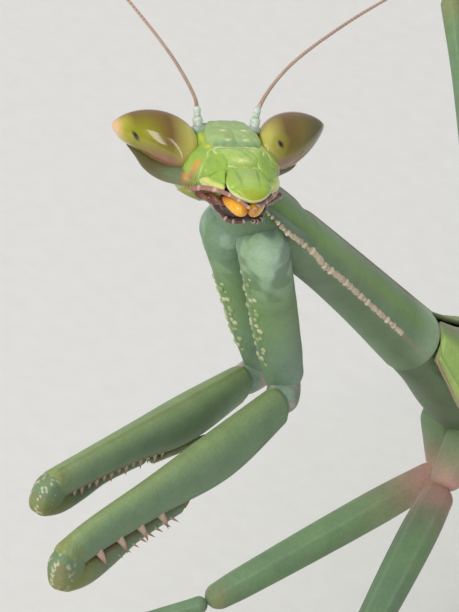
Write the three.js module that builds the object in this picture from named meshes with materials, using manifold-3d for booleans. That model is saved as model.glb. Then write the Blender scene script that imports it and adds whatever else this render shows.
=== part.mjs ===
// A praying mantis, an adult female about 65 mm long, as a life-size museum model.
// It stands on its middle and hind legs with the front of the body raised, the grasping
// forelegs folded, and the head turned up and to its left.
// Units are millimetres. +Z is up, the animal heads along -Y, its left side is +X, the feet
// stand on Z = 0, and the origin is on the floor under the middle of its bounding box.
import * as THREE from "three";
import { mergeVertices } from "three/addons/utils/BufferGeometryUtils.js";
import Module from "manifold-3d";

const wasm = await Module();
wasm.setup();

// ---------------------------------------------------------------- driving sizes
const GAP = 0.1; // clearance left where two pieces meet
const STANCE = [-0.700, -7.226]; // shift that centres the box on the origin

const WAIST = [0, -2.2, 22.56]; // joint of prothorax and middle thorax
const PROTHORAX = { length: 18.8, rise: 35.4 };
const BODY = { length: 42.7, thorax: 12.7, rise: 35, bend: 76.4 }; // behind the waist, on an arc
const TEGMEN = { from: 0.2, to: 43.7, thick: 0.5, clear: 0.15, apart: 3, even: 38.7 }; // folded forewing
const CERCUS = { at: 41.3, aside: 1.1, length: 3.2, foot: 0.36, tip: 0.25 }; // tail feeler
const NECK = { foot: 0.72, top: 0.8, inset: 0.6 };

const HEAD_CENTRE = [-0.93, -18.28, 36.49]; // middle of the line between the eye tips
const HEAD_LEFT = [0.511, 0.856, 0.081];
const HEAD_FACE = [0.212, -0.216, 0.953];
const EYE_TIP = 4.5; // half the width across the eye tips

// Each leg is a chain: a root and then lengths with a bearing (degrees from straight ahead,
// positive to the animal's left) and a rise (degrees above level).
const LEGS = {
  fore_l: {
    root: [1.3, -16.5, 32.5],
    coxa: { length: 11.8, bearing: 191, rise: -57 },
    trochanter: { length: 1.4, bearing: 41, rise: -6.5 },
    femur: { length: 16.2, bearing: 11, rise: -7.5 },
    side: [0.25, 0, -1],
  },
  fore_r: {
    root: [-1.4, -15.9, 31.7],
    coxa: { length: 12, bearing: 185, rise: -55 },
    trochanter: { length: 1.5, bearing: 6, rise: -10 },
    femur: { length: 16.2, bearing: 12.7, rise: 3 },
    side: [-0.05, 0, -1],
  },
  mid_l: {
    root: [1.3, 2.9, 17.6],
    coxa: { length: 3.3, bearing: 11, rise: -67 },
    femur: { length: 12.1, bearing: 28, rise: -8 },
    tibia: { length: 11.5, bearing: 38 },
    tarsus: { length: 6.5, bearing: 30, ankle: 2.4 },
  },
  mid_r: {
    root: [-1.1, 3.4, 17.3],
    coxa: { length: 3.75, bearing: 141, rise: -74 },
    femur: { length: 13.1, bearing: -10, rise: -24 },
    tibia: { length: 11.5, bearing: -45 },
    tarsus: { length: 6.5, bearing: -38, ankle: 2.0 },
  },
  hind_l: {
    root: [1.5, 8.4, 13.9],
    coxa: { length: 4.8, bearing: 168, rise: -38 },
    femur: { length: 24.4, bearing: 117, rise: 35.6 },
    tibia: { length: 25.9, bearing: 174 },
    tarsus: { length: 8.5, bearing: 160, ankle: 2.6 },
  },
  hind_r: {
    root: [-1.5, 8.4, 13.9],
    coxa: { length: 4.8, bearing: -168, rise: -38 },
    femur: { length: 24.4, bearing: -117, rise: 35.6 },
    tibia: { length: 25.9, bearing: -178 },
    tarsus: { length: 8.5, bearing: -164, ankle: 2.6 },
  },
};

const SKINS = {
  capsule: { color: 0x86ac5c, roughness: 0.4 },
  eye: { color: 0x9a9a4a, roughness: 0.12 },
  labrum: { color: 0x93bb42, roughness: 0.2 },
  mandible: { color: 0x84b04a, roughness: 0.3 },
  mouthpart: { color: 0xc8742c, roughness: 0.25 },
  palp: { color: 0xa98378, roughness: 0.4 },
  antenna: { color: 0xa5826c, roughness: 0.5 },
  plate: { color: 0x6d9672, roughness: 0.5 },
  limb: { color: 0x779b74, roughness: 0.5 },
  joint: { color: 0xa08d7c, roughness: 0.5 },
  tegmen: { color: 0x7fb255, roughness: 0.45 },
  abdomen: { color: 0x8fae74, roughness: 0.55 },
};

// ---------------------------------------------------------------- shape helpers
const V = (x, y, z) => new THREE.Vector3(x, y, z);
const { degToRad: rad, clamp } = THREE.MathUtils;

// A smooth value from a short profile of [t, value] stations, each stretch a cubic whose ends
// lean with their neighbours.
function profile(stations, t) {
  const last = stations.length - 1;
  if (t <= stations[0][0]) return stations[0][1];
  if (t >= stations[last][0]) return stations[last][1];
  const i = stations.findIndex(([end]) => t <= end);
  const lean = (k) => {
    const [a, b] = [stations[Math.max(k - 1, 0)], stations[Math.min(k + 1, last)]];
    return (b[1] - a[1]) / (b[0] - a[0]);
  };
  const [t0, v0] = stations[i - 1];
  const [t1, v1] = stations[i];
  const [w, k] = [t1 - t0, (t - t0) / (t1 - t0)];
  const ease = k * k * (3 - 2 * k);
  return v0 + (v1 - v0) * ease + w * k * (1 - k) * ((1 - k) * lean(i - 1) - k * lean(i));
}

// A unit direction from a bearing and a rise.
function heading(bearing, rise) {
  const level = Math.cos(rad(rise));
  return V(level * Math.sin(rad(bearing)), -level * Math.cos(rad(bearing)), Math.sin(rad(rise)));
}

// A closed body along a line: at(t) is its centre, size(t) its half-width and half-height, and
// `up` the direction of its height. Its sections are ellipses, or squarer where `round` is
// below 1. Its sections stand square to the line, or square to `facing` where that is given.
// Its surface never goes below the level `floor`.
function loft({ at, size, up, stops, facing, sides = 10, round = 1, floor = -Infinity }) {
  const shape = new THREE.CylinderGeometry(1, 1, 1, sides, stops.length - 1);
  const points = shape.attributes.position;
  const step = 1e-3;
  for (let i = 0; i < points.count; i++) {
    const t = stops[Math.round((0.5 - points.getY(i)) * (stops.length - 1))];
    const centre = at(t);
    const along = facing ?? at(t + step).sub(at(t - step)).normalize();
    const across = V(...up.toArray()).cross(along).normalize();
    const height = along.clone().cross(across);
    const [w, h] = size(t);
    const [x, z] = [points.getX(i), points.getZ(i)].map((v) => Math.sign(v) * Math.abs(v) ** round);
    centre.addScaledVector(across, w * x).addScaledVector(height, h * z);
    points.setXYZ(i, centre.x, centre.y, Math.max(centre.z, floor));
  }
  return shape;
}

// Stops from 0 to 1, evenly spaced.
const even = (n) => Array.from({ length: n + 1 }, (_, i) => i / n);

// A straight limb with round ends. `width` is a profile of half-widths, `deep` the ratio of
// height to width, `lean` a profile of how far it bows towards `up`, and `grow` makes the same
// shape larger all round, as a cutter.
function limb(a, b, { width, deep = 1, up = V(0, 0, 1), lean = [[0, 0]], rings = 3, sides = 8, grow = 0 }) {
  const length = a.distanceTo(b);
  const along = b.clone().sub(a).normalize();
  const from = a.clone().addScaledVector(along, -grow);
  const whole = length + 2 * grow;
  const round = [0.18, 0.8];
  const end0 = width[0][1] + grow;
  const end1 = width.at(-1)[1] + grow;
  const head = round.map((d) => (d * end0) / whole);
  const tail = round.map((d) => 1 - (d * end1) / whole).reverse();
  const inner = even(rings + 1).slice(1, -1).map((s) => head[1] + (tail[0] - head[1]) * s);
  const cap = (d, r) => (d < r ? Math.sqrt(1 - (1 - d / r) ** 2) : 1);
  return loft({
    at: (t) => from.clone().addScaledVector(along, t * whole).addScaledVector(up, profile(lean, t)),
    size: (t) => {
      const w = profile(width, (t * whole - grow) / length) + grow;
      const k = cap(t * whole, end0) * cap((1 - t) * whole, end1);
      return [w * k, ((w - grow) * deep + grow) * k];
    },
    up,
    stops: [...head, ...inner, ...tail],
    sides,
  });
}

// A mesh geometry as a solid, and back.
function solid(geometry) {
  const bare = geometry.index ? geometry.clone() : mergeVertices(geometry);
  bare.deleteAttribute("normal");
  bare.deleteAttribute("uv");
  const merged = mergeVertices(bare, 1e-4);
  const vertProperties = new Float32Array(merged.attributes.position.array);
  const triVerts = new Uint32Array(merged.index.array);
  return new wasm.Manifold(new wasm.Mesh({ numProp: 3, vertProperties, triVerts }));
}
function geometryOf(body) {
  const mesh = body.getMesh();
  const geometry = new THREE.BufferGeometry();
  geometry.setAttribute("position", new THREE.BufferAttribute(mesh.vertProperties, 3));
  geometry.setIndex(new THREE.BufferAttribute(mesh.triVerts, 1));
  return geometry;
}

// A named mesh, with other shapes cut away from it and small ones joined on.
function piece(parent, name, skin, shape, { cut = [], join = [] } = {}) {
  let body = solid(shape);
  for (const other of join) body = body.add(solid(other));
  for (const other of cut) body = body.subtract(solid(other));
  const mesh = new THREE.Mesh(geometryOf(body), new THREE.MeshStandardMaterial(SKINS[skin]));
  mesh.name = name;
  parent.add(mesh);
  return mesh;
}

// A pointed spine with its foot sunk into what it grows from.
function spine(foot, direction, length, radius) {
  const cone = new THREE.ConeGeometry(radius, length, 4);
  cone.translate(0, length / 2, 0);
  const turn = new THREE.Quaternion().setFromUnitVectors(V(0, 1, 0), direction.clone().normalize());
  return cone.applyQuaternion(turn).translate(foot.x, foot.y, foot.z);
}

const mantis = new THREE.Group();
mantis.position.set(STANCE[0], STANCE[1], 0);
const waist = V(...WAIST);

// ---------------------------------------------------------------- prothorax
const proAlong = heading(0, PROTHORAX.rise);
const proUp = V(1, 0, 0).cross(proAlong).negate();
const proFront = waist.clone().addScaledVector(proAlong, PROTHORAX.length);
const proWidth = [[0, 0.9], [0.057, 1.45], [0.274, 2.05], [0.39, 1.85], [0.57, 1.3], [0.9, 1.35], [1, 1.45]];
const proBack = [[0, 1.1], [0.07, 1.65], [0.34, 1.73], [1, 1.73]];
const proBelly = [[0, 0.5], [0.07, 1.0], [0.23, 1.0], [0.41, 0.7], [0.69, 0.85], [1, 1.25]];

function prothorax(grow = 0) {
  return loft({
    at: (t) => proFront.clone().addScaledVector(proAlong, -t * PROTHORAX.length)
      .addScaledVector(proUp, (profile(proBack, t) - profile(proBelly, t)) / 2),
    size: (t) => [profile(proWidth, t) + grow, (profile(proBack, t) + profile(proBelly, t)) / 2 + grow],
    up: proUp,
    stops: [0, 0.03, 0.09, 0.16, 0.23, 0.3, 0.38, 0.48, 0.62, 0.8, 0.92, 1 - GAP / PROTHORAX.length],
    sides: 14,
  });
}

// ---------------------------------------------------------------- body behind the waist
// The axis is an arc: s is the distance behind the waist.
function bodyAt(s) {
  const start = rad(BODY.rise);
  const now = start - s / BODY.bend;
  const y = BODY.bend * (Math.sin(start) - Math.sin(now));
  const z = BODY.bend * (Math.cos(start) - Math.cos(now));
  return waist.clone().add(V(0, y, z));
}
function bodyUp(s) {
  const now = rad(BODY.rise) - s / BODY.bend;
  return V(0, Math.sin(now), Math.cos(now));
}
const bodyWidth = [[0, 1.1], [2.7, 1.9], [6.7, 2.7], [11.7, 2.6], [22.7, 3.9], [30.7, 3.8], [38.7, 2.4], [42.7, 1.0]];
const bodyHeight = [[0, 1.2], [2.7, 1.5], [6.7, 2.25], [11.7, 2.1], [22.7, 2.7], [30.7, 2.5], [38.7, 1.6], [42.7, 0.8]];

function bodyPart(s0, s1, rings, grow = 0) {
  return loft({
    at: bodyAt,
    size: (s) => [profile(bodyWidth, s) + grow, profile(bodyHeight, s) + grow],
    up: V(0, 0.5, 0.87),
    stops: even(rings).map((k) => s0 + (s1 - s0) * k),
    sides: 14,
  });
}

// ---------------------------------------------------------------- legs
// Joint positions of a leg, from its chain.
function chain(leg) {
  const root = V(...leg.root);
  const end = root.clone().addScaledVector(heading(leg.coxa.bearing, leg.coxa.rise), leg.coxa.length);
  const hip = end.clone();
  if (leg.trochanter) {
    hip.addScaledVector(heading(leg.trochanter.bearing, leg.trochanter.rise), leg.trochanter.length);
  }
  const knee = hip.clone().addScaledVector(heading(leg.femur.bearing, leg.femur.rise), leg.femur.length);
  if (!leg.tibia) return { root, end, hip, knee };
  const drop = Math.asin((leg.tarsus.ankle - knee.z) / leg.tibia.length);
  const ankle = knee.clone().addScaledVector(heading(leg.tibia.bearing, (drop * 180) / Math.PI), leg.tibia.length);
  return { root, hip, knee, ankle };
}

// A walking foot: its first half comes down from the ankle and the rest lies along the floor.
const FOOT = { axis: 0.3, high: 0.27, width: [[0, 0.28], [0.35, 0.26], [0.8, 0.36], [1, 0.3]] };
function foot(leg, ankle) {
  const out = heading(leg.tarsus.bearing, 0);
  const half = leg.tarsus.length / 2;
  const reach = Math.sqrt(half ** 2 - (ankle.z - FOOT.axis) ** 2);
  const onFloor = (past) => V(ankle.x, ankle.y, FOOT.axis).addScaledVector(out, reach + past);
  const line = new THREE.CatmullRomCurve3([ankle.clone(), onFloor(0), onFloor(half / 2), onFloor(half)]);
  return loft({
    at: (t) => line.getPoint(clamp(t, 0, 1)),
    size: (t) => [profile(FOOT.width, t), FOOT.high],
    up: V(0, 0, 1),
    stops: even(8),
    sides: 7,
    floor: 0,
  });
}

// Half-widths along each part, from its upper end (0) to its lower end (1).
const WALKING = {
  knee: 0.42,
  ankle: 0.3,
  mid: {
    coxa: [[0, 1.05], [1, 0.7]],
    femur: [[0, 0.74], [0.3, 0.86], [0.85, 0.56], [1, 0.58]],
    deep: 0.85, // height of the thigh over its width
    tibia: 0.36,
  },
  hind: {
    coxa: [[0, 1.1], [1, 0.74]],
    femur: [[0, 0.7], [0.25, 0.72], [0.8, 0.42], [1, 0.52]],
    deep: 1.15,
    tibia: 0.38,
  },
};

function walkingLeg(name, body) {
  const leg = LEGS[name];
  const sizes = WALKING[name.split("_")[0]];
  const { root, hip, knee, ankle } = chain(leg);
  const coxa = (grow) => limb(root, hip, { width: sizes.coxa, grow, rings: 2, up: V(0, 1, 0) });
  const femur = (grow) => limb(hip, knee, { width: sizes.femur, deep: sizes.deep, grow, rings: 4 });
  const shin = [[0, WALKING.knee], [0.08, sizes.tibia], [1, WALKING.ankle]];
  const tibia = (grow) => limb(knee, ankle, { width: shin, grow, rings: 3, up: V(0, 1, 0) });
  piece(mantis, `${name}_coxa`, "limb", coxa(0), { cut: body });
  piece(mantis, `${name}_femur`, "limb", femur(0), { cut: [coxa(GAP)] });
  piece(mantis, `${name}_tibia`, "limb", tibia(0), { cut: [femur(GAP)] });
  piece(mantis, `${name}_tarsus`, "joint", foot(leg, ankle), { cut: [tibia(GAP)] });
}

// Half-widths along each part as above. The shin lies folded back under the thigh: `knee` and
// `claw` are the distances between the two at the shin's ends.
const GRASPING = {
  coxa: [[0, 1.12], [0.3, 1.05], [0.7, 0.98], [1, 0.82]],
  trochanter: [[0, 0.62], [0.5, 0.74], [1, 0.66]],
  femur: [[0, 0.66], [0.3, 0.88], [0.6, 0.68], [1, 0.54]],
  femurDeep: 1.3,
  femurBow: [[0, 0], [0.3, 0.34], [0.6, 0.1], [1, 0]],
  tibia: { length: 8.6, knee: 1.12, claw: 1.55, width: [[0, 0.46], [0.5, 0.36], [1, 0.3]] },
  tarsus: { length: 5.2, foot: 0.35, aside: 0.9, width: [[0, 0.27], [1, 0.25]] },
  thighSpines: { count: 4, from: 0.5, step: 0.095, long: 0.95, radius: 0.2 },
  shinTeeth: { count: 6, from: 0.3, step: 0.1, long: 0.7, radius: 0.14 },
  claw: { long: 1.5, radius: 0.28 },
  overlap: 0.35, // of the trochanter's length, past each end
};

function graspingLeg(name, body) {
  const leg = LEGS[name];
  const left = name.endsWith("_l") ? 1 : -1;
  const { root, end, hip, knee } = chain(leg);
  const along = knee.clone().sub(hip).normalize();
  const below = V(...leg.side).addScaledVector(along, -V(...leg.side).dot(along)).normalize();
  const out = below.clone().cross(along);
  if (out.x * left < 0) out.negate();
  const coxaUp = heading(leg.coxa.bearing, leg.coxa.rise).cross(V(1, 0, 0)).normalize();
  const coxa = (grow) => limb(root, end, { width: GRASPING.coxa, up: coxaUp, grow, rings: 4, sides: 10 });
  const [before, after] = [end.clone().lerp(hip, -GRASPING.overlap), hip.clone().lerp(end, -GRASPING.overlap)];
  const trochanter = (grow) => limb(before, after, { width: GRASPING.trochanter, up: below, grow, rings: 1 });
  const thigh = { width: GRASPING.femur, deep: GRASPING.femurDeep, lean: GRASPING.femurBow, up: below };
  const femur = (grow) => limb(hip, knee, { ...thigh, grow, rings: 5, sides: 10 });

  const { tibia, tarsus, thighSpines, shinTeeth } = GRASPING;
  const shin0 = knee.clone().addScaledVector(below, tibia.knee);
  const shin1 = knee.clone().addScaledVector(below, tibia.claw).addScaledVector(along, -tibia.length);
  const shin = (grow) => limb(shin0, shin1, { width: tibia.width, up: below, grow, rings: 2, sides: 7 });
  const toe0 = shin1.clone().addScaledVector(out, -tarsus.foot);
  const toe1 = shin1.clone().addScaledVector(along, -tarsus.length).addScaledVector(out, -tarsus.aside);
  const toe = limb(toe0, toe1, { width: tarsus.width, rings: 1, sides: 6 });

  // The thigh's spines stand on the outer edge of its underside, the shin's teeth face them, and
  // the claw ends the shin.
  const teeth = ({ count, from, step }, make) => Array.from({ length: count }, (_, i) => make(from + i * step));
  const thighRow = teeth(thighSpines, (t) => {
    const half = profile(GRASPING.femur, t);
    const at = hip.clone().lerp(knee, t).addScaledVector(out, half * 0.5);
    at.addScaledVector(below, half * 0.8 + profile(GRASPING.femurBow, t));
    return spine(at, below.clone().addScaledVector(out, 0.55), thighSpines.long, thighSpines.radius);
  });
  const shinRow = teeth(shinTeeth, (t) => {
    const lean = out.clone().addScaledVector(below, 0.4);
    return spine(shin0.clone().lerp(shin1, t), lean, shinTeeth.long, shinTeeth.radius);
  });
  const clawLean = below.clone().negate().addScaledVector(along, -1.6);
  const claw = spine(shin1, clawLean, GRASPING.claw.long, GRASPING.claw.radius);

  piece(mantis, `${name}_coxa`, "limb", coxa(0), { cut: [body] });
  piece(mantis, `${name}_trochanter`, "joint", trochanter(0), { cut: [coxa(GAP)] });
  piece(mantis, `${name}_femur`, "limb", femur(0), { join: thighRow, cut: [coxa(GAP), trochanter(GAP)] });
  piece(mantis, `${name}_tibia`, "limb", shin(0), { join: [claw, ...shinRow], cut: [femur(GAP), ...thighRow] });
  piece(mantis, `${name}_tarsus`, "joint", toe, { cut: [shin(GAP), femur(GAP), claw] });
}

piece(mantis, "prothorax", "plate", prothorax());
for (const name of ["fore_l", "fore_r"]) graspingLeg(name, prothorax(GAP));

// ---------------------------------------------------------------- thorax, abdomen and wings
piece(mantis, "pterothorax", "plate", bodyPart(GAP, BODY.thorax, 6));
const SEGMENTS = 7;
const segment = (BODY.length - BODY.thorax) / SEGMENTS;
for (let i = 0; i < SEGMENTS; i++) {
  const s0 = BODY.thorax + i * segment + GAP;
  piece(mantis, `abdomen_${i + 1}`, "abdomen", bodyPart(s0, s0 + segment - GAP, 2));
}
const trunk = [bodyPart(GAP, BODY.thorax, 6, GAP), bodyPart(BODY.thorax + GAP, BODY.thorax + segment, 2, GAP)];
for (const name of ["mid_l", "mid_r", "hind_l", "hind_r"]) walkingLeg(name, trunk);
const tail = bodyPart(BODY.length - segment, BODY.length, 2, GAP);
for (const [side, left] of [["l", 1], ["r", -1]]) {
  const root = bodyAt(CERCUS.at).add(V(left * CERCUS.aside, 0, 0.2));
  const tip = root.clone().add(V(left * CERCUS.aside, CERCUS.length, 0.1));
  const cercus = limb(root, tip, { width: [[0, CERCUS.foot], [1, CERCUS.tip]], rings: 2, sides: 7 });
  piece(mantis, `cercus_${side}`, "abdomen", cercus, { cut: [tail] });
}

// A folded forewing: a thin shell round the back and side of the body, from the midline out to
// its front edge. u runs along the body, v across from the midline, w through the thickness.
// Its two edges are profiles of the angle, in degrees, round the body from the top.
const tegmenReach = [[0, 86], [0.03, 102], [0.07, 117], [0.3, 114], [0.72, 95], [0.926, 66], [1, 28]];
const tegmenInner = [[0, 22], [0.12, TEGMEN.apart], [0.88, TEGMEN.apart], [1, 8]];
function tegmen(left) {
  const shape = new THREE.BoxGeometry(1, 1, 1, 14, 5, 1);
  const points = shape.attributes.position;
  for (let i = 0; i < points.count; i++) {
    const u = points.getX(i) + 0.5;
    const v = points.getY(i) + 0.5;
    const w = points.getZ(i) + 0.5;
    const s = TEGMEN.from + u * (TEGMEN.to - TEGMEN.from);
    const start = Math.max(profile(tegmenInner, u), TEGMEN.apart);
    const angle = rad(start + v * (profile(tegmenReach, u) - start));
    const off = TEGMEN.clear + w * TEGMEN.thick;
    const under = Math.min(s, TEGMEN.even);
    const a = profile(bodyWidth, under) + off;
    const b = profile(bodyHeight, under) + off;
    const at = bodyAt(s).addScaledVector(bodyUp(s), b * Math.cos(angle));
    points.setXYZ(i, left * a * Math.sin(angle), at.y, at.z);
  }
  if (left < 0) return shape;
  // u, v and w make a left-handed set on this side, so each face is turned round.
  for (let i = 0; i < shape.index.count; i += 3) {
    const [b, c] = [shape.index.getX(i + 1), shape.index.getX(i + 2)];
    shape.index.setX(i + 1, c);
    shape.index.setX(i + 2, b);
  }
  return shape;
}
piece(mantis, "tegmen_l", "tegmen", tegmen(1));
piece(mantis, "tegmen_r", "tegmen", tegmen(-1));

// ---------------------------------------------------------------- head
// The head's own frame is like the body's: +X is its left, -Y the way the face looks and +Z
// its crown. F gives a place as (left, forward, up).
const F = (left, forward, up) => V(left, -forward, up);
const head = new THREE.Group();
const headBackward = V(...HEAD_FACE).negate();
const headUp = V(...HEAD_LEFT).cross(headBackward);
head.position.set(...HEAD_CENTRE);
head.setRotationFromMatrix(new THREE.Matrix4().makeBasis(V(...HEAD_LEFT), headBackward, headUp));
mantis.add(head);
head.updateMatrix();

// The capsule, from the edge of the mouth up to the crown, by height.
const faceHalf = [[-3.7, 1.35], [-3, 1.95], [-2.2, 2.15], [-1.4, 2.05], [-0.6, 1.8], [0, 1.4], [0.5, 0.8]];
const faceFront = [[-3.7, 1.6], [-2.3, 1.42], [-1.5, 1.28], [-0.8, 1.08], [-0.1, 0.5], [0.5, -0.22]];
const faceBack = [[-3.7, -0.3], [-3, -1.1], [-1.8, -1.8], [-0.3, -1.75], [0.5, -1.1]];

function capsule(grow = 0) {
  return loft({
    at: (z) => F(0, (profile(faceFront, z) + profile(faceBack, z)) / 2, z),
    size: (z) => [profile(faceHalf, z) + grow, (profile(faceFront, z) - profile(faceBack, z)) / 2 + grow],
    up: V(0, 1, 0),
    facing: V(0, 0, 1),
    stops: [-3.75 - grow, -3.4, -2.8, -2, -1.2, -0.6, -0.1, 0.3, 0.52 + grow],
    sides: 14,
    round: 0.7,
  });
}

// The compound eye is a drawn-out cone with a blunt tip, set on the upper corner of the head.
// Its stations are distances out from the head's middle plane.
const eyeHigh = [[1.4, -1.4], [2, -1.12], [2.5, -0.88], [3, -0.62], [3.5, -0.45], [4, -0.2], [EYE_TIP, 0.05]];
const eyeFront = [[1.4, 0.6], [2, 0.4], [2.5, 0.22], [3.5, 0.07], [EYE_TIP, 0]];
const eyeRound = [[1.4, 0.5], [2, 1.14], [2.5, 1.3], [3, 1.19], [3.5, 1], [4, 0.65], [4.3, 0.42], [EYE_TIP, 0.18]];
function eye(left, grow = 0) {
  return loft({
    at: (x) => F(left * x, profile(eyeFront, x), profile(eyeHigh, x)),
    size: (x) => [(profile(eyeRound, x) + grow) * 0.8, profile(eyeRound, x) + grow],
    up: V(0, 0, 1),
    facing: V(left, 0, 0),
    stops: [1.4 - grow, 1.65, 2, 2.5, 3, 3.5, 3.95, 4.3, EYE_TIP + grow],
    sides: 12,
  });
}

// A rounded lump in the head's frame.
function lump(centre, half, grow = 0, sides = 10) {
  const ball = new THREE.SphereGeometry(1, sides, 6);
  return ball.scale(half[0] + grow, half[1] + grow, half[2] + grow).translate(centre[0], -centre[1], centre[2]);
}
const labrum = (grow) => lump([0, 1.6, -4.55], [0.9, 0.42, 1.1], grow, 12);
const mandible = (left, grow) => lump([left * 0.98, 0.9, -4.0], [0.64, 0.7, 0.9], grow, 9);
const maxilla = (left, grow) => lump([left * 0.5, 0.85, -5.15], [0.43, 0.5, 0.6], grow, 8);

const rim = (left) => lump([left * 1.85, -0.6, -1.75], [0.85, 0.75, 0.55], 0, 8);
const PALP_HALF = 0.26;
const ANTENNA = { foot: 0.36, elbow: 0.3, whip: 0.26 };
piece(head, "head", "capsule", capsule(), { join: [rim(1), rim(-1)], cut: [eye(1, GAP), eye(-1, GAP)] });
piece(head, "labrum", "labrum", labrum(0), { cut: [capsule(GAP)] });
for (const [side, left] of [["l", 1], ["r", -1]]) {
  piece(head, `eye_${side}`, "eye", eye(left));
  const cheek = [capsule(GAP), labrum(GAP)];
  piece(head, `mandible_${side}`, "mandible", mandible(left, 0), { cut: cheek });
  const mouth = [...cheek, mandible(left, GAP), mandible(-left, GAP)];
  piece(head, `maxilla_${side}`, "mouthpart", maxilla(left, 0), { cut: mouth });

  // Two feelers at each side of the mouth.
  const feelers = {
    maxillary: [F(left * 1.6, 0.1, -3.8), F(left * 1.7, 0.9, -4.45), F(left * 1.15, 1.4, -5.25), F(left * 0.4, 1.5, -5.9)],
    labial: [F(left * 0.8, 0, -4.5), F(left * 0.78, 0.05, -5), F(left * 0.36, 0.3, -5.38)],
  };
  for (const [name, line] of Object.entries(feelers)) {
    const curve = new THREE.CatmullRomCurve3(line);
    const feeler = loft({
      at: (t) => curve.getPoint(clamp(t, 0, 1)),
      size: () => [PALP_HALF, PALP_HALF],
      up: F(0.3 * left, -0.8, 0.2),
      stops: even(line.length + 2),
      sides: 6,
    });
    const away = [...mouth, maxilla(left, GAP), maxilla(-left, GAP)];
    piece(head, `${name}_palp_${side}`, "palp", feeler, { cut: away });
  }

  // Antenna: a thick first joint and a long thin whip, bent its own way on each side.
  const socket = F(left * 1.19, 1.0, -0.78);
  const elbow = F(left * 1.28, 1.55, -0.3);
  const stem = { width: [[0, ANTENNA.foot], [1, ANTENNA.elbow]], rings: 1, up: V(1, 0, 0) };
  const scape = (grow) => limb(socket, elbow, { ...stem, grow });
  piece(head, `antenna_${side}_base`, "antenna", scape(0), { cut: [capsule(GAP), eye(left, GAP)] });
  const run = left > 0
    ? [elbow, F(1.8, 2, 0.4), F(2.9, 2.4, 1.55), F(5.45, 2.95, 3.4), F(8.6, 3.1, 5.5), F(11.4, 2.9, 7.3)]
    : [elbow, F(-1.35, 1.8, 0), F(-2, 2.4, 1.3), F(-3.15, 3, 3.1), F(-5, 3.3, 6.3), F(-6.6, 3, 9)];
  const whipLine = new THREE.CatmullRomCurve3(run);
  const whip = loft({
    at: (t) => whipLine.getPoint(clamp(t, 0, 1)),
    size: () => [ANTENNA.whip, ANTENNA.whip],
    up: F(0, 1, -0.4),
    stops: even(13),
    sides: 6,
  });
  piece(head, `antenna_${side}_whip`, "antenna", whip, { cut: [scape(GAP)] });
}

// The neck runs from the front of the prothorax to the back of the head.
const inHead = (geometry) => geometry.applyMatrix4(head.matrix);
const neckStart = proFront.clone().addScaledVector(proAlong, -NECK.inset);
const neckEnd = F(0, -1.2, -1.9).applyMatrix4(head.matrix);
const neck = limb(neckStart, neckEnd, { width: [[0, NECK.foot], [1, NECK.top]], rings: 1, sides: 10, up: V(0, 1, 0) });
piece(mantis, "neck", "joint", neck, {
  cut: [prothorax(GAP), inHead(capsule(GAP)), inHead(mandible(1, GAP)), inHead(mandible(-1, GAP))],
});

export default mantis;
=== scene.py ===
import bpy
import numpy as np
from mathutils import Matrix, Vector


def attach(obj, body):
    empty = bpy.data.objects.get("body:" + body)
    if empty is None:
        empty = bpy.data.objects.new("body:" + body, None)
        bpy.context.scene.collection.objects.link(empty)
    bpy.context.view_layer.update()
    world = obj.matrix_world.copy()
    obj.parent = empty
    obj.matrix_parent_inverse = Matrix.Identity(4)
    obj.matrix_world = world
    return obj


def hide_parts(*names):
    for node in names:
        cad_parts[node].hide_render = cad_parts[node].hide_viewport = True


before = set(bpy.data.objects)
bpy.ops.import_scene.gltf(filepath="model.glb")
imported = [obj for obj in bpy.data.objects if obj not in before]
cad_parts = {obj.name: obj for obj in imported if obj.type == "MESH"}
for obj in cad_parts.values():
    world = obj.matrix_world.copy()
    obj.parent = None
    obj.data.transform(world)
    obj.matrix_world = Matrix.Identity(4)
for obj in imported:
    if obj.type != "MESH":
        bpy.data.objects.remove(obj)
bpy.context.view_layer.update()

# ---------------------------------------------------------------- studio
# The camera stands about 25 cm off the animal's left front, looks down at 29 degrees and is
# rolled a little. The floor is a sheet of pale matt card under broad soft lamps.
MM = 0.001
STANCE = np.array([-0.7, -7.226, 0.0])  # shift that centres the animal's box on the origin, in mm
FLOOR_HALF = 2.0
CARD_DARK = (222, 221, 217)
CARD_LIGHT = (230, 229, 225)
CAMERA_AT = (np.array([120.07, -173.25, 137.66]) + STANCE) * MM
CAMERA_BACK = Vector((0.5295, -0.6961, 0.4848)).normalized()
CAMERA_UP = Vector((-0.5015, 0.2040, 0.8407))
CAMERA_LENS = 315.8  # in mm, behind a picture 36 mm high
WARM_WHITE = (1.0, 0.93, 0.9)
SOFT_WHITE = (1.0, 0.98, 0.95)
SKY_WHITE = (0.92, 0.95, 1.0, 1)


def lit(red, green, blue):
    """Linear light from a colour as it looks on a screen, each channel 0 to 255: the inverse of
    the screen's own curve, close to a power of 2.4."""
    c = np.array([red, green, blue], float) / 255
    return np.where(c < 0.04045, c / 12.92, ((c + 0.055) / 1.055) ** 2.4)


def shaded(name):
    """A new material with its nodes and its Principled shader."""
    material = bpy.data.materials.new(name)
    material.use_nodes = True
    return material, material.node_tree, material.node_tree.nodes["Principled BSDF"]


def add(tree, kind, *values, **named):
    """A node of that kind. The values go to its sockets in order, and each named one to the socket
    of that name, with _ for a space, or else to the node's own property of that name."""
    node = tree.nodes.new("ShaderNode" + kind)
    sockets = [(node.inputs[place], value) for place, value in enumerate(values)]
    for name, value in named.items():
        socket = node.inputs.get(name.replace("_", " "))
        if socket is None:
            setattr(node, name, value)
        else:
            sockets.append((socket, value))
    for socket, value in sockets:
        if isinstance(value, bpy.types.NodeSocket):
            tree.links.new(value, socket)
        else:
            socket.default_value = value
    return node


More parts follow.
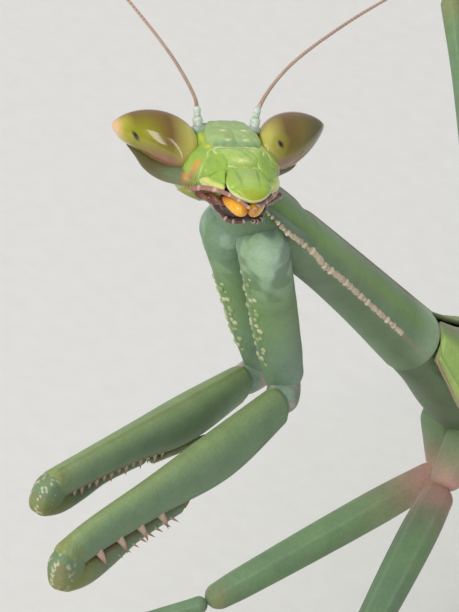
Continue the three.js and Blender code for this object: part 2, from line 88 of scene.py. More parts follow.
def card_finish():
    """Pale warm grey card: a fine noise moves its tone by 2% and raises its tooth a little."""
    material, tree, shader = shaded("pale_card")
    place = add(tree, "TexCoord").outputs["Object"]
    tooth = add(tree, "TexNoise", Vector=place, Scale=900.0, Detail=4.0).outputs["Fac"]
    tone = add(tree, "ValToRGB", Fac=tooth)
    tone.color_ramp.elements[0].color = (*lit(*CARD_DARK), 1)
    tone.color_ramp.elements[1].color = (*lit(*CARD_LIGHT), 1)
    bump = add(tree, "Bump", Strength=0.15, Distance=0.0002, Height=tooth)
    tree.links.new(tone.outputs["Color"], shader.inputs["Base Color"])
    tree.links.new(bump.outputs["Normal"], shader.inputs["Normal"])
    shader.inputs["Roughness"].default_value = 0.9
    return material


def placed(name, data):
    """A new object in the scene that holds the data."""
    item = bpy.data.objects.new(name, data)
    bpy.context.scene.collection.objects.link(item)
    return item


floor_mesh = bpy.data.meshes.new("floor")
floor_corners = [(x * FLOOR_HALF, y * FLOOR_HALF, 0) for x, y in ((-1, -1), (1, -1), (1, 1), (-1, 1))]
floor_mesh.from_pydata(floor_corners, [], [(0, 1, 2, 3)])
floor_mesh.materials.append(card_finish())
placed("floor", floor_mesh)

camera = placed("camera", bpy.data.cameras.new("camera"))
bpy.context.scene.camera = camera
camera_right = CAMERA_UP.cross(CAMERA_BACK).normalized()
camera_axes = Matrix((camera_right, CAMERA_BACK.cross(camera_right), CAMERA_BACK)).transposed()
camera.matrix_world = Matrix.Translation(Vector(CAMERA_AT)) @ camera_axes.to_4x4()
camera.data.sensor_fit = "VERTICAL"
camera.data.sensor_height = 36
camera.data.lens = CAMERA_LENS
camera.data.clip_start = 0.02
camera.data.clip_end = 20


def lamp(name, offset, power, long, wide, side, colour=(1.0, 1.0, 1.0), mirrored=False):
    """A soft lamp of long by wide, offset in metres from the middle of the animal and turned to
    face it, with its long edges along side. Only a mirrored one is seen in glossy skin."""
    light = placed(name, bpy.data.lights.new(name, "AREA"))
    back = Vector(offset).normalized()
    across = back.cross(Vector(side)).normalized()
    axes = Matrix((across.cross(back), across, back)).transposed()
    light.matrix_world = Matrix.Translation(Vector((0, 0, 0.03)) + Vector(offset)) @ axes.to_4x4()
    light.data.energy = power
    light.data.shape = "RECTANGLE"
    light.data.size = long
    light.data.size_y = wide
    light.data.color = colour
    light.visible_glossy = mirrored


lamp("strip_near", (-0.055, -0.6, 0.29), 0.6, 0.4, 0.1, (0.33, -0.22, -0.49), WARM_WHITE, True)
lamp("strip_far", (0.315, -0.53, 0.26), 0.7, 0.75, 0.07, (0.71, 0.08, -0.71), WARM_WHITE, True)
lamp("front", (0.05, -0.6, 0.4), 2.2, 0.5, 0.5, (1, 0, 0), SOFT_WHITE)
lamp("overhead", (-0.2, -0.05, 0.65), 1.6, 0.6, 0.6, (1, 0, 0))
lamp("rear", (-0.2, 0.5, 0.35), 0.9, 0.5, 0.5, (1, 0, 0))
world = bpy.data.worlds.new("studio")
world.use_nodes = True
world.node_tree.nodes["Background"].inputs["Color"].default_value = SKY_WHITE
world.node_tree.nodes["Background"].inputs["Strength"].default_value = 0.34
bpy.context.scene.world = world
bpy.context.scene.view_settings.view_transform = "Standard"

# ---------------------------------------------------------------- pronotum
# One long hard plate over the first part of the thorax, cast in green cuticle. It is widest over
# the roots of the forelegs, where its front corners hang over them as thin flaps. A keel runs
# down its back, and a row of small bone-coloured beads follows the ridge along each side.
SIDES = {"l": 1, "r": -1}  # each side's sign on the axis that points to the animal's left
CELADON = lit(112, 140, 106)
STEM_GREEN = lit(126, 160, 84)
SHADE_GREEN = lit(100, 120, 88)
REAR_PAINTED_LIGHT = lit(158, 184, 150)
DUSK = lit(138, 128, 112)
PINK_TAN = lit(178, 146, 128)
BONE = lit(228, 218, 190)


def profile(stations, t):
    """A smooth value from [place, value] stations: between two of them a cubic whose ends lean
    as the chords through each station's neighbours do."""
    x, y = np.array(stations, float).T
    t = np.clip(t, x[0], x[-1])
    k = np.arange(len(x))
    before, after = np.maximum(k - 1, 0), np.minimum(k + 1, len(x) - 1)
    lean = (y[after] - y[before]) / (x[after] - x[before])
    i = np.clip(np.searchsorted(x, t), 1, len(x) - 1)
    w = x[i] - x[i - 1]
    s = (t - x[i - 1]) / w
    ease = s * s * (3 - 2 * s)
    return y[i - 1] + (y[i] - y[i - 1]) * ease + w * s * (1 - s) * ((1 - s) * lean[i - 1] - s * lean[i])


def hill(x, middle, half):
    """A soft bump of height 1 at middle that has fallen to about a third at half from it."""
    return np.exp(-((x - middle) / half) ** 2)


def ramp(x, start, end):
    """0 up to start, 1 from end on, and even between them. The end may lie below the start."""
    return np.clip((x - start) / (end - start), 0, 1)


def rounded(x):
    """A quarter of a circle: 0 at 0, then steep, and level at 1 from x = 1 on."""
    return np.sqrt(1 - (1 - np.clip(x, 0, 1)) ** 2)


def heading(bearing, rise):
    """A unit direction: bearing in degrees from straight ahead, positive to the animal's left,
    and rise in degrees above level."""
    b, r = np.radians(bearing), np.radians(rise)
    return np.array([np.cos(r) * np.sin(b), -np.cos(r) * np.cos(b), np.sin(r)])


def unit(v):
    """The same directions with length 1."""
    return v / np.linalg.norm(v, axis=-1, keepdims=True)


def around(m):
    """m angles evenly round a ring."""
    return np.linspace(0, 2 * np.pi, m, endpoint=False)


def sweep(centre, up, wide, high, angle):
    """Rings carried along a line and square to it. Each point is centre + across * wide * cos of
    its angle + height * high * sin, where across is square to up and to the line, and height to
    both. wide and high are columns with one value for each ring."""
    along = unit(np.gradient(centre, axis=0))
    across = unit(np.cross(np.broadcast_to(up, centre.shape), along))
    height = np.cross(along, across)
    to_side = across[:, None] * (wide * np.cos(angle))[..., None]
    return centre[:, None] + to_side + height[:, None] * (high * np.sin(angle))[..., None]


def rings_about(centre, first, second, third, rows=50, points=60, power=2):
    """The rings of a ball drawn out to three half axes, which are given as vectors. Each point's
    three shares x, y and z of the axes keep |x|^p + |y|^p + |z|^p = 1: a power p over 2 makes a
    ball with blunter corners."""
    up, a = np.linspace(0.03, np.pi - 0.03, rows)[:, None, None], around(points)[None, :, None]
    x, y, z = np.cos(up) + 0 * a, np.sin(up) * np.cos(a), np.sin(up) * np.sin(a)
    size = (np.abs(x) ** power + np.abs(y) ** power + np.abs(z) ** power) ** (1 / power)
    return centre + (x * first + y * second + z * third) / size


def through(points, t):
    """The smooth line through the points, each stretch a cubic whose ends lean by the distances
    to its neighbours (a centripetal Catmull-Rom curve); t runs from 0 to 1."""
    p = np.array(points, float)
    p = np.concatenate([2 * p[:1] - p[1:2], p, 2 * p[-1:] - p[-2:-1]])
    t = np.clip(t, 0, 1) * (len(p) - 3)
    i = np.minimum(t.astype(int), len(p) - 4)
    k = (t - i)[:, None]
    a, b, c, d = p[i], p[i + 1], p[i + 2], p[i + 3]
    gap = [np.sqrt(np.linalg.norm(q - r, axis=1))[:, None] for q, r in ((b, a), (c, b), (d, c))]
    one = ((b - a) / gap[0] - (c - a) / (gap[0] + gap[1]) + (c - b) / gap[1]) * gap[1]
    two = ((c - b) / gap[1] - (d - b) / (gap[1] + gap[2]) + (d - c) / gap[2]) * gap[1]
    return b + one * k + (3 * (c - b) - 2 * one - two) * k ** 2 + (2 * (b - c) + one + two) * k ** 3


def raised(rings, amount):
    """The same rings with each point moved out along the surface's own normal, the cross product
    of its two directions, by amount."""
    normal = np.cross(np.gradient(rings, axis=0), np.roll(rings, -1, 1) - np.roll(rings, 1, 1))
    normal = normal / np.maximum(np.linalg.norm(normal, axis=-1, keepdims=True), 1e-12)
    outward = rings - rings.mean(1, keepdims=True)
    normal *= np.sign((normal * outward).sum((0, 1, 2)))
    return rings + normal * np.asarray(amount)[..., None]


def tube(rings, colour):
    """A closed shape from rings of points: quads between neighbours, and a fan to the middle of
    the first and the last ring. colour is one linear colour or one for each point."""
    n, m, _ = rings.shape
    points = np.concatenate([rings.reshape(-1, 3), rings[:1].mean(1), rings[-1:].mean(1)])
    i = np.arange(n - 1)[:, None] * m
    j = np.arange(m)
    k = (j + 1) % m
    quads = np.stack([i + j, i + k, i + m + k, i + m + j], -1).reshape(-1, 4)
    last = (n - 1) * m
    first_fan = np.stack([0 * j + n * m, k, j], -1)
    last_fan = np.stack([0 * j + n * m + 1, last + j, last + k], -1)
    tint = np.broadcast_to(np.asarray(colour, float), (n, m, 3))
    tint = np.concatenate([tint.reshape(-1, 3), tint[:1].mean(1), tint[-1:].mean(1)])
    return points, quads, np.concatenate([first_fan, last_fan]), tint


def made(name, shapes, material, node):
    """One object from closed shapes, in metres, with its colours in the attribute paint. A shape
    that is inside out, by the sign of its volume, has its faces turned."""
    points, corners, starts, tints = [], [], [], []
    count, loops = 0, 0
    for shape, quads, fans, tint in shapes:
        tris = np.concatenate([quads[:, :3], quads[:, [0, 2, 3]], fans])
        a, b, c = shape[tris[:, 0]], shape[tris[:, 1]], shape[tris[:, 2]]
        if (a * np.cross(b, c)).sum() < 0:
            quads, fans = quads[:, ::-1], fans[:, ::-1]
        points.append(shape)
        tints.append(tint)
        for faces in (quads, fans):
            corners.append((faces + count).ravel())
            starts.append(loops + np.arange(len(faces)) * faces.shape[1])
            loops += faces.size
        count += len(shape)
    mesh = bpy.data.meshes.new(name)
    mesh.vertices.add(count)
    mesh.vertices.foreach_set("co", ((np.concatenate(points) + STANCE) * MM).ravel())
    mesh.loops.add(loops)
    mesh.loops.foreach_set("vertex_index", np.concatenate(corners).astype(np.int32))
    starts = np.concatenate(starts).astype(np.int32)
    mesh.polygons.add(len(starts))
    mesh.polygons.foreach_set("loop_start", starts)
    mesh.update(calc_edges=True)
    mesh.shade_smooth()
    paint = mesh.color_attributes.new("paint", "FLOAT_COLOR", "POINT")
    paint.data.foreach_set("color", np.column_stack([np.concatenate(tints), np.ones(count)]).ravel())
    mesh.materials.append(material)
    item = placed(name, mesh)
    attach(item, "root")
    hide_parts(node)


def laid(base, *layers):
    """Colours one over the other: base, then each (colour, amount) mixed in by its amount. An
    amount is a number, a column for the rings, a row for the points of a ring, or both."""
    colour = np.asarray(base, float)
    for layer, amount in layers:
        k = np.clip(np.asarray(amount, float), 0, 1)[..., None]
        colour = colour * (1 - k) + layer * k
    return colour


def blotch(points, size, seed):
    """Soft irregular patches from 0 to 1, about size mm across: the product of three waves that
    run in different directions and are bent by one another."""
    x, y, z = np.moveaxis(points, -1, 0) * (2.2 / size) + seed
    a = np.sin(x + 1.3 * np.sin(0.8 * y + seed))
    b = np.sin(y * 1.1 + 1.5 * np.sin(0.9 * z + 2 * seed))
    c = np.sin(z * 0.9 + 1.2 * np.sin(1.1 * x + 3 * seed))
    return np.clip(0.5 + 0.35 * (a + b * c + 0.5 * np.sin(2.3 * x + 1.9 * z)), 0, 1)


def cuticle(name, rough, mottle=0.2, patch=0.6, grain=0.35, coat=0.0, deep=0.0, gleam=0.5, cells=11.0):
    """Insect cuticle: the painted colour with a broad mottle and a fine fleck over it, a fine
    pebbled bump, and where asked a clear coat and light that spreads inside. Patterns are noises
    and cells, so many to a millimetre of the object's own coordinates."""
    material, tree, shader = shaded(name)
    place = add(tree, "Mapping", add(tree, "TexCoord").outputs["Object"], Scale=(1000, 1000, 1000))
    place = place.outputs["Vector"]
    paint = add(tree, "Attribute", attribute_name="paint").outputs["Color"]
    broad = add(tree, "TexNoise", Vector=place, Scale=patch, Detail=5.0, Roughness=0.6).outputs["Fac"]
    fleck = add(tree, "TexNoise", Vector=place, Scale=patch * 9, Detail=3.0, Roughness=0.7).outputs["Fac"]
    pebbles = add(tree, "TexVoronoi", Vector=place, Scale=cells).outputs["Distance"]
    both = add(tree, "Math", broad, fleck, operation="ADD")
    light = add(tree, "MapRange", Value=both.outputs[0], From_Min=0.7, From_Max=1.3, To_Min=1 - mottle,
                To_Max=1 + mottle)
    colour = add(tree, "VectorMath", paint, operation="SCALE", Scale=light.outputs["Result"])
    height = add(tree, "Math", pebbles, fleck, operation="ADD")
    bump = add(tree, "Bump", Strength=grain, Distance=0.00004, Height=height.outputs[0])
    gloss = add(tree, "MapRange", Value=fleck, From_Min=0.3, From_Max=0.7, To_Min=rough * 0.8,
                To_Max=rough * 1.25)
    tree.links.new(colour.outputs[0], shader.inputs["Base Color"])
    tree.links.new(bump.outputs["Normal"], shader.inputs["Normal"])
    tree.links.new(gloss.outputs["Result"], shader.inputs["Roughness"])
    for socket, value in {"Specular IOR Level": gleam, "Coat Weight": coat, "Coat Roughness": 0.08,
                          "Subsurface Weight": deep, "Subsurface Scale": 0.0004,
                          "Subsurface Radius": (0.7, 1.0, 0.4)}.items():
        shader.inputs[socket].default_value = value
    return material


WAIST = np.array([0, -2.2, 22.56])
PRO_LENGTH = 18.8
pro_along = heading(0, 35.4)
pro_up = np.cross(pro_along, (1, 0, 0))
pro_front = WAIST + pro_along * PRO_LENGTH
pro_width = [[0, 0.9], [0.057, 1.45], [0.274, 2.05], [0.39, 1.85], [0.57, 1.3], [0.9, 1.35], [1, 1.45]]
pro_back = [[0, 1.1], [0.07, 1.65], [0.34, 1.73], [1, 1.73]]
pro_belly = [[0, 0.5], [0.07, 1.0], [0.23, 1.0], [0.41, 0.7], [0.69, 0.85], [1, 1.25]]
SHOULDER = 0.27  # where the fold across the back lies, as a share of the plate's length
SHOULDER_EDGE = [(1.6, -16.97, 33.81), (1.89, -16.94, 33.7), (2.09, -16.79, 33.54), (2.24, -16.56, 33.33),
                 (2.31, -16.2, 33.0), (2.19, -15.4, 32.48)]
SHOULDER_OUT = unit(np.array((0.6, -0.6, 0.5)))
BEADS = 80


def ridge_at(t):
    """The sine of the ring angle where the side ridges lie: it falls a little to the rear."""
    return profile([[0.2, 0.1], [0.26, 0.04], [0.31, -0.09], [0.4, -0.14], [1, -0.14]], t)


def on_plate(place, sine):
    """Points on the plate's left side, at a place along it from its front and a sine of the ring's
    angle."""
    back, belly = profile(pro_back, place), profile(pro_belly, place)
    side = profile(pro_width, place) * np.sqrt(1 - sine ** 2)
    up = (back - belly) / 2 + (back + belly) / 2 * sine
    centre = pro_front - pro_along * (place * PRO_LENGTH)[:, None] + pro_up * up[:, None]
    return centre + side[:, None] * (1, 0, 0)


def plate():
    """Rings from the front of the plate to the waist. Each is an ellipse between the profiles of
    back and belly. A keel, a fold over the foreleg roots and a ridge along each side are raised
    from it by soft bumps in the ring's angle."""
    t = 0.5 - 0.5 * np.cos(np.pi * np.linspace(0, 1, 400))[:, None]
    a = around(150)
    back, belly = profile(pro_back, t), profile(pro_belly, t)
    centre = pro_front - pro_along * t * PRO_LENGTH + pro_up * (back - belly) / 2
    end = rounded(t / 0.02)
    rings = sweep(centre, pro_up, profile(pro_width, t) * end, (back + belly) / 2 * end, a)
    top = np.sin(a)
    keel = hill(a, np.pi / 2, 0.09) * (1 - hill(t, SHOULDER, 0.03))
    fold = hill(t, SHOULDER, 0.012) * np.clip(top, 0, 1)
    ridge = hill(top, ridge_at(t), 0.08) * ramp(t, 1.154, 0.385) * ramp(t, 0.17, 0.22)
    rings = raised(rings, 0.1 * keel - 0.14 * fold + 0.07 * ridge)
    # The shade green on the lower side is painted shade, and the pale green over the sides of the rear end
    # is painted light that lifts the shading where the end of the plate turns away from the lamps.
    tint = laid(CELADON, (SHADE_GREEN, 0.6 * hill(top, -0.5, 0.35) * (top < -0.15)),
                (STEM_GREEN, 0.75 * hill(top, 0.55, 0.3) * (top > 0)), (DUSK, 0.8 * hill(a, np.pi / 2, 0.3)),
                (REAR_PAINTED_LIGHT, 0.85 * ramp(t, 0.86, 0.98) * ramp(top, -0.577, 0.192)), (PINK_TAN, ridge))
    return tube(rings, tint)


def bead(at, radius, colour, out):
    """A small flat ball at a place, 0.6 as high as wide along out."""
    across, over, up = radius * (np.eye(3) - 0.4 * np.outer(out, out))
    return tube(rings_about(at, up, across, over, 9, 12), colour)


def bead_line():
    """The left row of beads: the edge of the shoulder flap, and from there the plate's ridge."""
    places = np.linspace(0.21, 0.9, 30)
    return through([*SHOULDER_EDGE, *on_plate(places, ridge_at(places))], np.linspace(0, 1, 900))


def shoulder_flap(left):
    """The thin front corner of the plate that lies over the root of the foreleg: flat rings from
    the plate's side to the flap's edge, bowed outward by the square of the ring angle's sine."""
    edge = bead_line()[:180:2]
    inner = on_plate(np.linspace(0.02, 0.22, len(edge)), 0.4)
    a = around(60)
    c, s = np.cos(a)[:, None], np.sin(a)[:, None]
    rings = (edge + inner)[:, None] / 2 + (edge - inner)[:, None] / 2 * c
    rings = (rings + SHOULDER_OUT * (0.08 * s + 0.3 * s ** 2)) * (left, 1, 1)
    return tube(rings, laid(CELADON, (SHADE_GREEN, 0.3), (PINK_TAN, 0.8 * ramp(np.cos(a), 0.9, 0.96))))


def side_beads(left):
    """The beads of one side: uneven steps and sizes, from a slow and a fast wave of the bead's
    number, small in front and largest over the middle."""
    line = bead_line()
    run = np.concatenate([[0], np.cumsum(np.linalg.norm(np.diff(line, axis=0), axis=1))])
    beads = []
    for number in range(BEADS):
        distance = 0.05 + number * 0.2 + 0.04 * np.sin(number * 2.4 + left)
        at = np.array([np.interp(distance, run, line[:, axis]) for axis in range(3)])
        size = 0.145 + 0.03 * np.sin(number * 1.7) + 0.015 * np.sin(number * 4.1)
        size = size * min(1.05, 0.55 + 0.1 * distance) * (1.1 - 0.02 * distance)
        colour = laid(BONE, (PINK_TAN, 0.35 + 0.35 * np.sin(number * 2.9)))
        beads.append(bead((at + (0.03, 0, 0)) * (left, 1, 1), size, colour, np.array([left, 0, 0])))
    return beads


plate_finish = cuticle("plate_cuticle", 0.5, mottle=0.16)
flaps = [shoulder_flap(left) for left in SIDES.values()]
beads = [shape for left in SIDES.values() for shape in side_beads(left)]
made("pronotum", [plate(), *flaps, *beads], plate_finish, "prothorax")

# ---------------------------------------------------------------- thorax and abdomen
# Behind the waist the middle and hind thorax are one stiff box, joined to the front plate by soft
# skin. The abdomen is a soft tube of seven belts, each lapping over the next, pale green with
# darker hind edges.
ARC = {"length": 42.7, "thorax": 12.7, "rise": np.radians(35), "bend": 76.4}
body_width = [[0, 1.1], [2.7, 1.9], [6.7, 2.7], [11.7, 2.6], [22.7, 3.9], [30.7, 3.8], [38.7, 2.4],
              [42.7, 1.0]]
body_height = [[0, 1.2], [2.7, 1.5], [6.7, 2.25], [11.7, 2.1], [22.7, 2.7], [30.7, 2.5], [38.7, 1.6],
               [42.7, 0.8]]
BELTS = 7
LEAF = lit(112, 152, 74)
MOSS = lit(128, 158, 100)
PALE_MOSS = lit(176, 192, 140)
THORAX_PAINTED_SHADE = lit(82, 98, 76)


def body_at(s):
    """The body's middle line: an arc of a circle from the waist, s being the distance along it."""
    now = ARC["rise"] - s / ARC["bend"]
    y = ARC["bend"] * (np.sin(ARC["rise"]) - np.sin(now))
    z = ARC["bend"] * (np.cos(now) - np.cos(ARC["rise"]))
    return WAIST + np.stack([0 * s, y, -z], -1)


def belt(s0, s1, lap, colour, edge, belly):
    """One belt of the body: ellipses along the arc from s0 to s1, swelling by lap to its hind
    edge and closed by a short inward turn, with pleats running along its sides."""
    t = np.linspace(0, 1, 60)[:, None]
    s = s0 + (s1 - s0) * t
    a = around(120)
    close = np.sqrt(np.clip(1 - ramp(t, 0.96, 1) ** 2, 0.5, 1))
    wide, high = ((profile(size, s) + lap * (t ** 2 - 0.6)) * close for size in (body_width, body_height))
    rings = sweep(body_at(s[:, 0]), (0, 0.5, 0.87), wide, high, a)
    rings = raised(rings, 0.05 * np.cos(a * 22) * hill(np.sin(a), -0.1, 0.25) * np.sin(np.pi * t))
    tint = laid(colour, (edge, 0.6 * hill(t, 0.93, 0.05)), (belly, 0.5 * hill(np.sin(a), -1, 0.5)))
    return tube(rings, tint)


def waist_skin():
    """The soft joint under the waist: a ball with small folds across it."""
    back, up = heading(180, -35), heading(180, 55)
    rings = rings_about(WAIST + back * 0.9 + up * 0.15, back * 1.6, up * 1.25, np.array((1.4, 0, 0)))
    return tube(raised(rings, 0.04 * np.sin(6 * (rings - WAIST) @ back)), SHADE_GREEN)


# The thorax's shade green, and the darker green on its belly, are painted shade.
thorax = belt(0.0, ARC["thorax"], 0.05, SHADE_GREEN, SHADE_GREEN, THORAX_PAINTED_SHADE)
made("thorax_box", [thorax, waist_skin()], plate_finish, "pterothorax")
belly_finish = cuticle("belly_cuticle", 0.55, mottle=0.2)
step = (ARC["length"] - ARC["thorax"]) / BELTS
for number in range(1, BELTS + 1):
    end = ARC["thorax"] + number * step
    shape = belt(end - step - 0.35, end, 0.12, MOSS, LEAF, PALE_MOSS)
    made(f"belt_{number}", [shape], belly_finish, f"abdomen_{number}")

# ---------------------------------------------------------------- tail feelers
# Two short soft feelers on the last belt, each a string of small joints that tapers to its tip.


def limb(a, b, width, deep=1.0, up=(0, 0, 1), bow=((0, 0), (1, 0)), rows=90, points=48):
    """A straight limb with round ends from a to b: half-widths by a profile along it, deep times
    as high as wide, bowed towards up by the profile bow. Returns rings, place along and angle."""
    a, b, up = (np.array(v, float) for v in (a, b, up))
    t = 0.5 - 0.5 * np.cos(np.pi * np.linspace(0.012, 0.988, rows))[:, None]
    length = np.linalg.norm(b - a)
    cap = rounded(t * length / width[0][1]) * rounded((1 - t) * length / width[-1][1])
    wide = profile(width, t) * cap
    centre = a + (b - a) * t + up * profile(bow, t)
    angle = around(points)
    return sweep(centre, up, wide, wide * deep, angle), t, angle


for side, left in SIDES.items():
    root = body_at(np.array(41.3)) + (left * 1.1, 0, 0.2)
    rings, t, _ = limb(root, root + (left * 1.1, 3.2, 0.1), [[0, 0.36], [0.5, 0.34], [1, 0.2]])
    feeler = tube(raised(rings, 0.03 * np.cos(2 * np.pi * t * 8)), laid(MOSS, (PINK_TAN, t * 0.5)))
    made(f"tail_feeler_{side}", [feeler], belly_finish, f"cercus_{side}")

# ---------------------------------------------------------------- forewings
# Two leathery wings folded flat over the back, the left one over the right along the midline. Each
# is a thin sheet with raised veins, and its front edge is a narrow bright band with a tan cord.
TEGMEN = {"from": 0.2, "to": 43.7, "thick": 0.5, "clear": 0.15, "apart": 3.0, "even": 38.7, "over": 0.4}
LEFT_LAP = 9  # degrees round the body by which the left wing passes the midline
CORD = 0.88  # where the tan cord lies, as a share of the wing's width from the midline
tegmen_reach = [[0, 86], [0.03, 102], [0.07, 117], [0.3, 114], [0.72, 95], [0.926, 66], [0.975, 46],
                [1, 20]]
tegmen_inner = [[0, 22], [0.12, 3], [0.93, 3], [0.98, 5], [1, 12]]
WING = lit(128, 162, 88)
WING_BRIGHT = lit(166, 196, 92)
WING_LIME = lit(172, 204, 112)
VEIN = lit(172, 186, 124)


def forewing(left):
    """A thin closed shell: u runs along the body and v from the midline round to the front edge.
    Each point lies on the body's own ellipse, moved out by the clearance, and the left wing is
    raised and carried past the midline to lie over the right one. The veins are soft
    ridges: long ones at even places of v that fan out, and cross ones at even places of u."""
    u = np.linspace(0, 1, 300)[:, None]
    v = np.linspace(0, 1, 90)
    s = TEGMEN["from"] + u * (TEGMEN["to"] - TEGMEN["from"])
    start = np.maximum(profile(tegmen_inner, u), TEGMEN["apart"])
    start = start - LEFT_LAP * (left > 0) * ramp(start, 6, 3)
    angle = np.radians(start + v * (profile(tegmen_reach, u) - start))
    over = (left > 0) * ramp(np.degrees(angle), 15, 6)
    over = TEGMEN["clear"] + TEGMEN["over"] * over * over * (3 - 2 * over)
    near = ramp(u, 0.25, 0)
    long = sum(hill(v, k, 0.006) for k in np.linspace(0.1, 0.84, 8))
    cross = hill((u * 60 + v * 7) % 1, 0.5, 0.1) * (v < 0.86)
    cord = hill(v, CORD, 0.012)
    veins = (0.07 * long + 0.03 * cross) * (1 - 0.8 * near) + 0.12 * cord + 0.08 * hill(v, 1, 0.02)
    walls = []
    now = ARC["rise"] - s / ARC["bend"]
    even = np.minimum(s, TEGMEN["even"])
    for off in (over + TEGMEN["thick"] * 0.9 + veins, over + TEGMEN["thick"] * 0.5):
        wide, high = (profile(size, even) + off for size in (body_width, body_height))
        rise = high * np.cos(angle)
        out = np.stack([left * wide * np.sin(angle), rise * np.sin(now), rise * np.cos(now)], -1)
        walls.append(body_at(s[:, 0])[:, None] + out)
    tint = laid(WING, (WING_BRIGHT, 0.9 * (v > CORD - 0.01)), (WING_LIME, near * ramp(v, 0.3, 0.45)),
                (DUSK, 0.8 * near * hill(v, 0.05, 0.2)),
                (VEIN, (0.6 * long + 0.25 * cross) * (1 - 0.7 * near)),
                (PINK_TAN, cord * 0.9 * (1 - near)), (PINK_TAN, 0.8 * hill(v, 1, 0.02 + 0.05 * near)))
    rings = np.concatenate([walls[0], walls[1][:, ::-1]], 1)
    return tube(rings, np.concatenate([tint, tint[:, ::-1]], 1))


wing_finish = cuticle("wing_leather", 0.42, mottle=0.14, grain=0.25)
for side, left in SIDES.items():
    made(f"forewing_{side}", [forewing(left)], wing_finish, f"tegmen_{side}")

# ---------------------------------------------------------------- middle and hind legs
# Long round limbs of four pieces: a short thick root piece, thigh, shin and a foot of five small
# joints that ends in two claws. Thigh and shin carry fine raised lines, the shin ends in spurs,
# and the knee is speckled brown. A heading is a bearing and a rise in degrees.
LEGS = {
    "mid_l": dict(root=(1.3, 2.9, 17.6), coxa=(3.3, 11, -67), femur=(12.1, 28, -8),
                  tibia=(11.5, 38), tarsus=(6.5, 30, 2.4)),
    "mid_r": dict(root=(-1.1, 3.4, 17.3), coxa=(3.75, 141, -74), femur=(13.1, -10, -24),
                  tibia=(11.5, -45), tarsus=(6.5, -38, 2.0)),
    "hind_l": dict(root=(1.5, 8.4, 13.9), coxa=(4.8, 168, -38), femur=(24.4, 117, 35.6),
                   tibia=(25.9, 174), tarsus=(8.5, 160, 2.6)),
    "hind_r": dict(root=(-1.5, 8.4, 13.9), coxa=(4.8, -168, -38), femur=(24.4, -117, 35.6),
                   tibia=(25.9, -178), tarsus=(8.5, -164, 2.6)),
}
WALKING = {
    "mid": dict(coxa=[[0, 1.05], [1, 0.7]], femur=[[0, 0.74], [0.3, 0.88], [0.85, 0.76], [1, 0.62]],
                deep=0.85, tibia=[[0, 0.42], [0.08, 0.36], [1, 0.3]]),
    "hind": dict(coxa=[[0, 1.1], [1, 0.74]], femur=[[0, 0.7], [0.25, 0.72], [0.8, 0.42], [1, 0.52]],
                 deep=1.15, tibia=[[0, 0.42], [0.08, 0.38], [1, 0.3]]),
}
FOOT_JOINTS = np.array([0, 0.46, 0.62, 0.75, 0.85, 1.0])  # as shares of the foot's length
PALE_CELADON = lit(148, 170, 140)
HINGE_PINK = lit(194, 156, 142)
KNEE_BROWN = lit(146, 132, 84)
FOOT_TAN = lit(150, 150, 112)
CLAW_BROWN = lit(96, 66, 44)


def turned(a, at, half):
    """A soft ridge at the angle at of a ring, about half wide each way, in radians."""
    return hill((a - at + np.pi) % (2 * np.pi) - np.pi, 0, half)


def spike(foot, tip, radius, colour, end, bend=(0, 0, 0), rows=9, points=10):
    """A curved cone: its middle line is straight from foot to tip and pushed aside by bend times
    4t(1 - t), and its radius falls as 1 - t to the power 1.4. end is the colour at its tip."""
    foot, tip = np.array(foot, float), np.array(tip, float)
    t = np.linspace(0, 0.985, rows)[:, None]
    line = foot + (tip - foot) * t + np.array(bend, float) * 4 * t * (1 - t)
    r = radius * (1 - t ** 1.4)
    rings = sweep(line, np.cross(tip - foot, (0.3, 0.5, 0.8)), r, r, around(points))
    return tube(rings, laid(colour, (end, t ** 2)))


def laid_off(place, stretch):
    """The place at the end of a stretch, which is a length, a bearing and a rise."""
    return place + heading(*stretch[1:]) * stretch[0]


def lined(limb_rings, ridges, knee=0.0, root_pink=0.0, end_pink=0.0):
    """A limb with fine raised lines at even angles and its colours: paler on the lines, speckled
    brown towards its far end by the amount knee, and pinkish at its two ends."""
    rings, t, a = limb_rings
    lines = sum(turned(a, k, 0.09) for k in ridges)
    rings = raised(rings, 0.045 * lines * np.sin(np.pi * t) ** 0.5)
    speck = hill(t, 1.0, 0.07) * (0.4 + 0.6 * blotch(rings, 0.5, 4.0))
    pink = root_pink * hill(t, 0, 0.2) + end_pink * hill(t, 1, 0.45)
    pink = pink * (0.75 + 0.25 * blotch(rings, 0.8, 2.0))
    tint = laid(CELADON, (PALE_CELADON, 0.35 * lines), (MOSS, 0.35 * blotch(rings, 2.5, 1.5)),
                (KNEE_BROWN, knee * speck), (HINGE_PINK, pink))
    return tube(rings, tint)


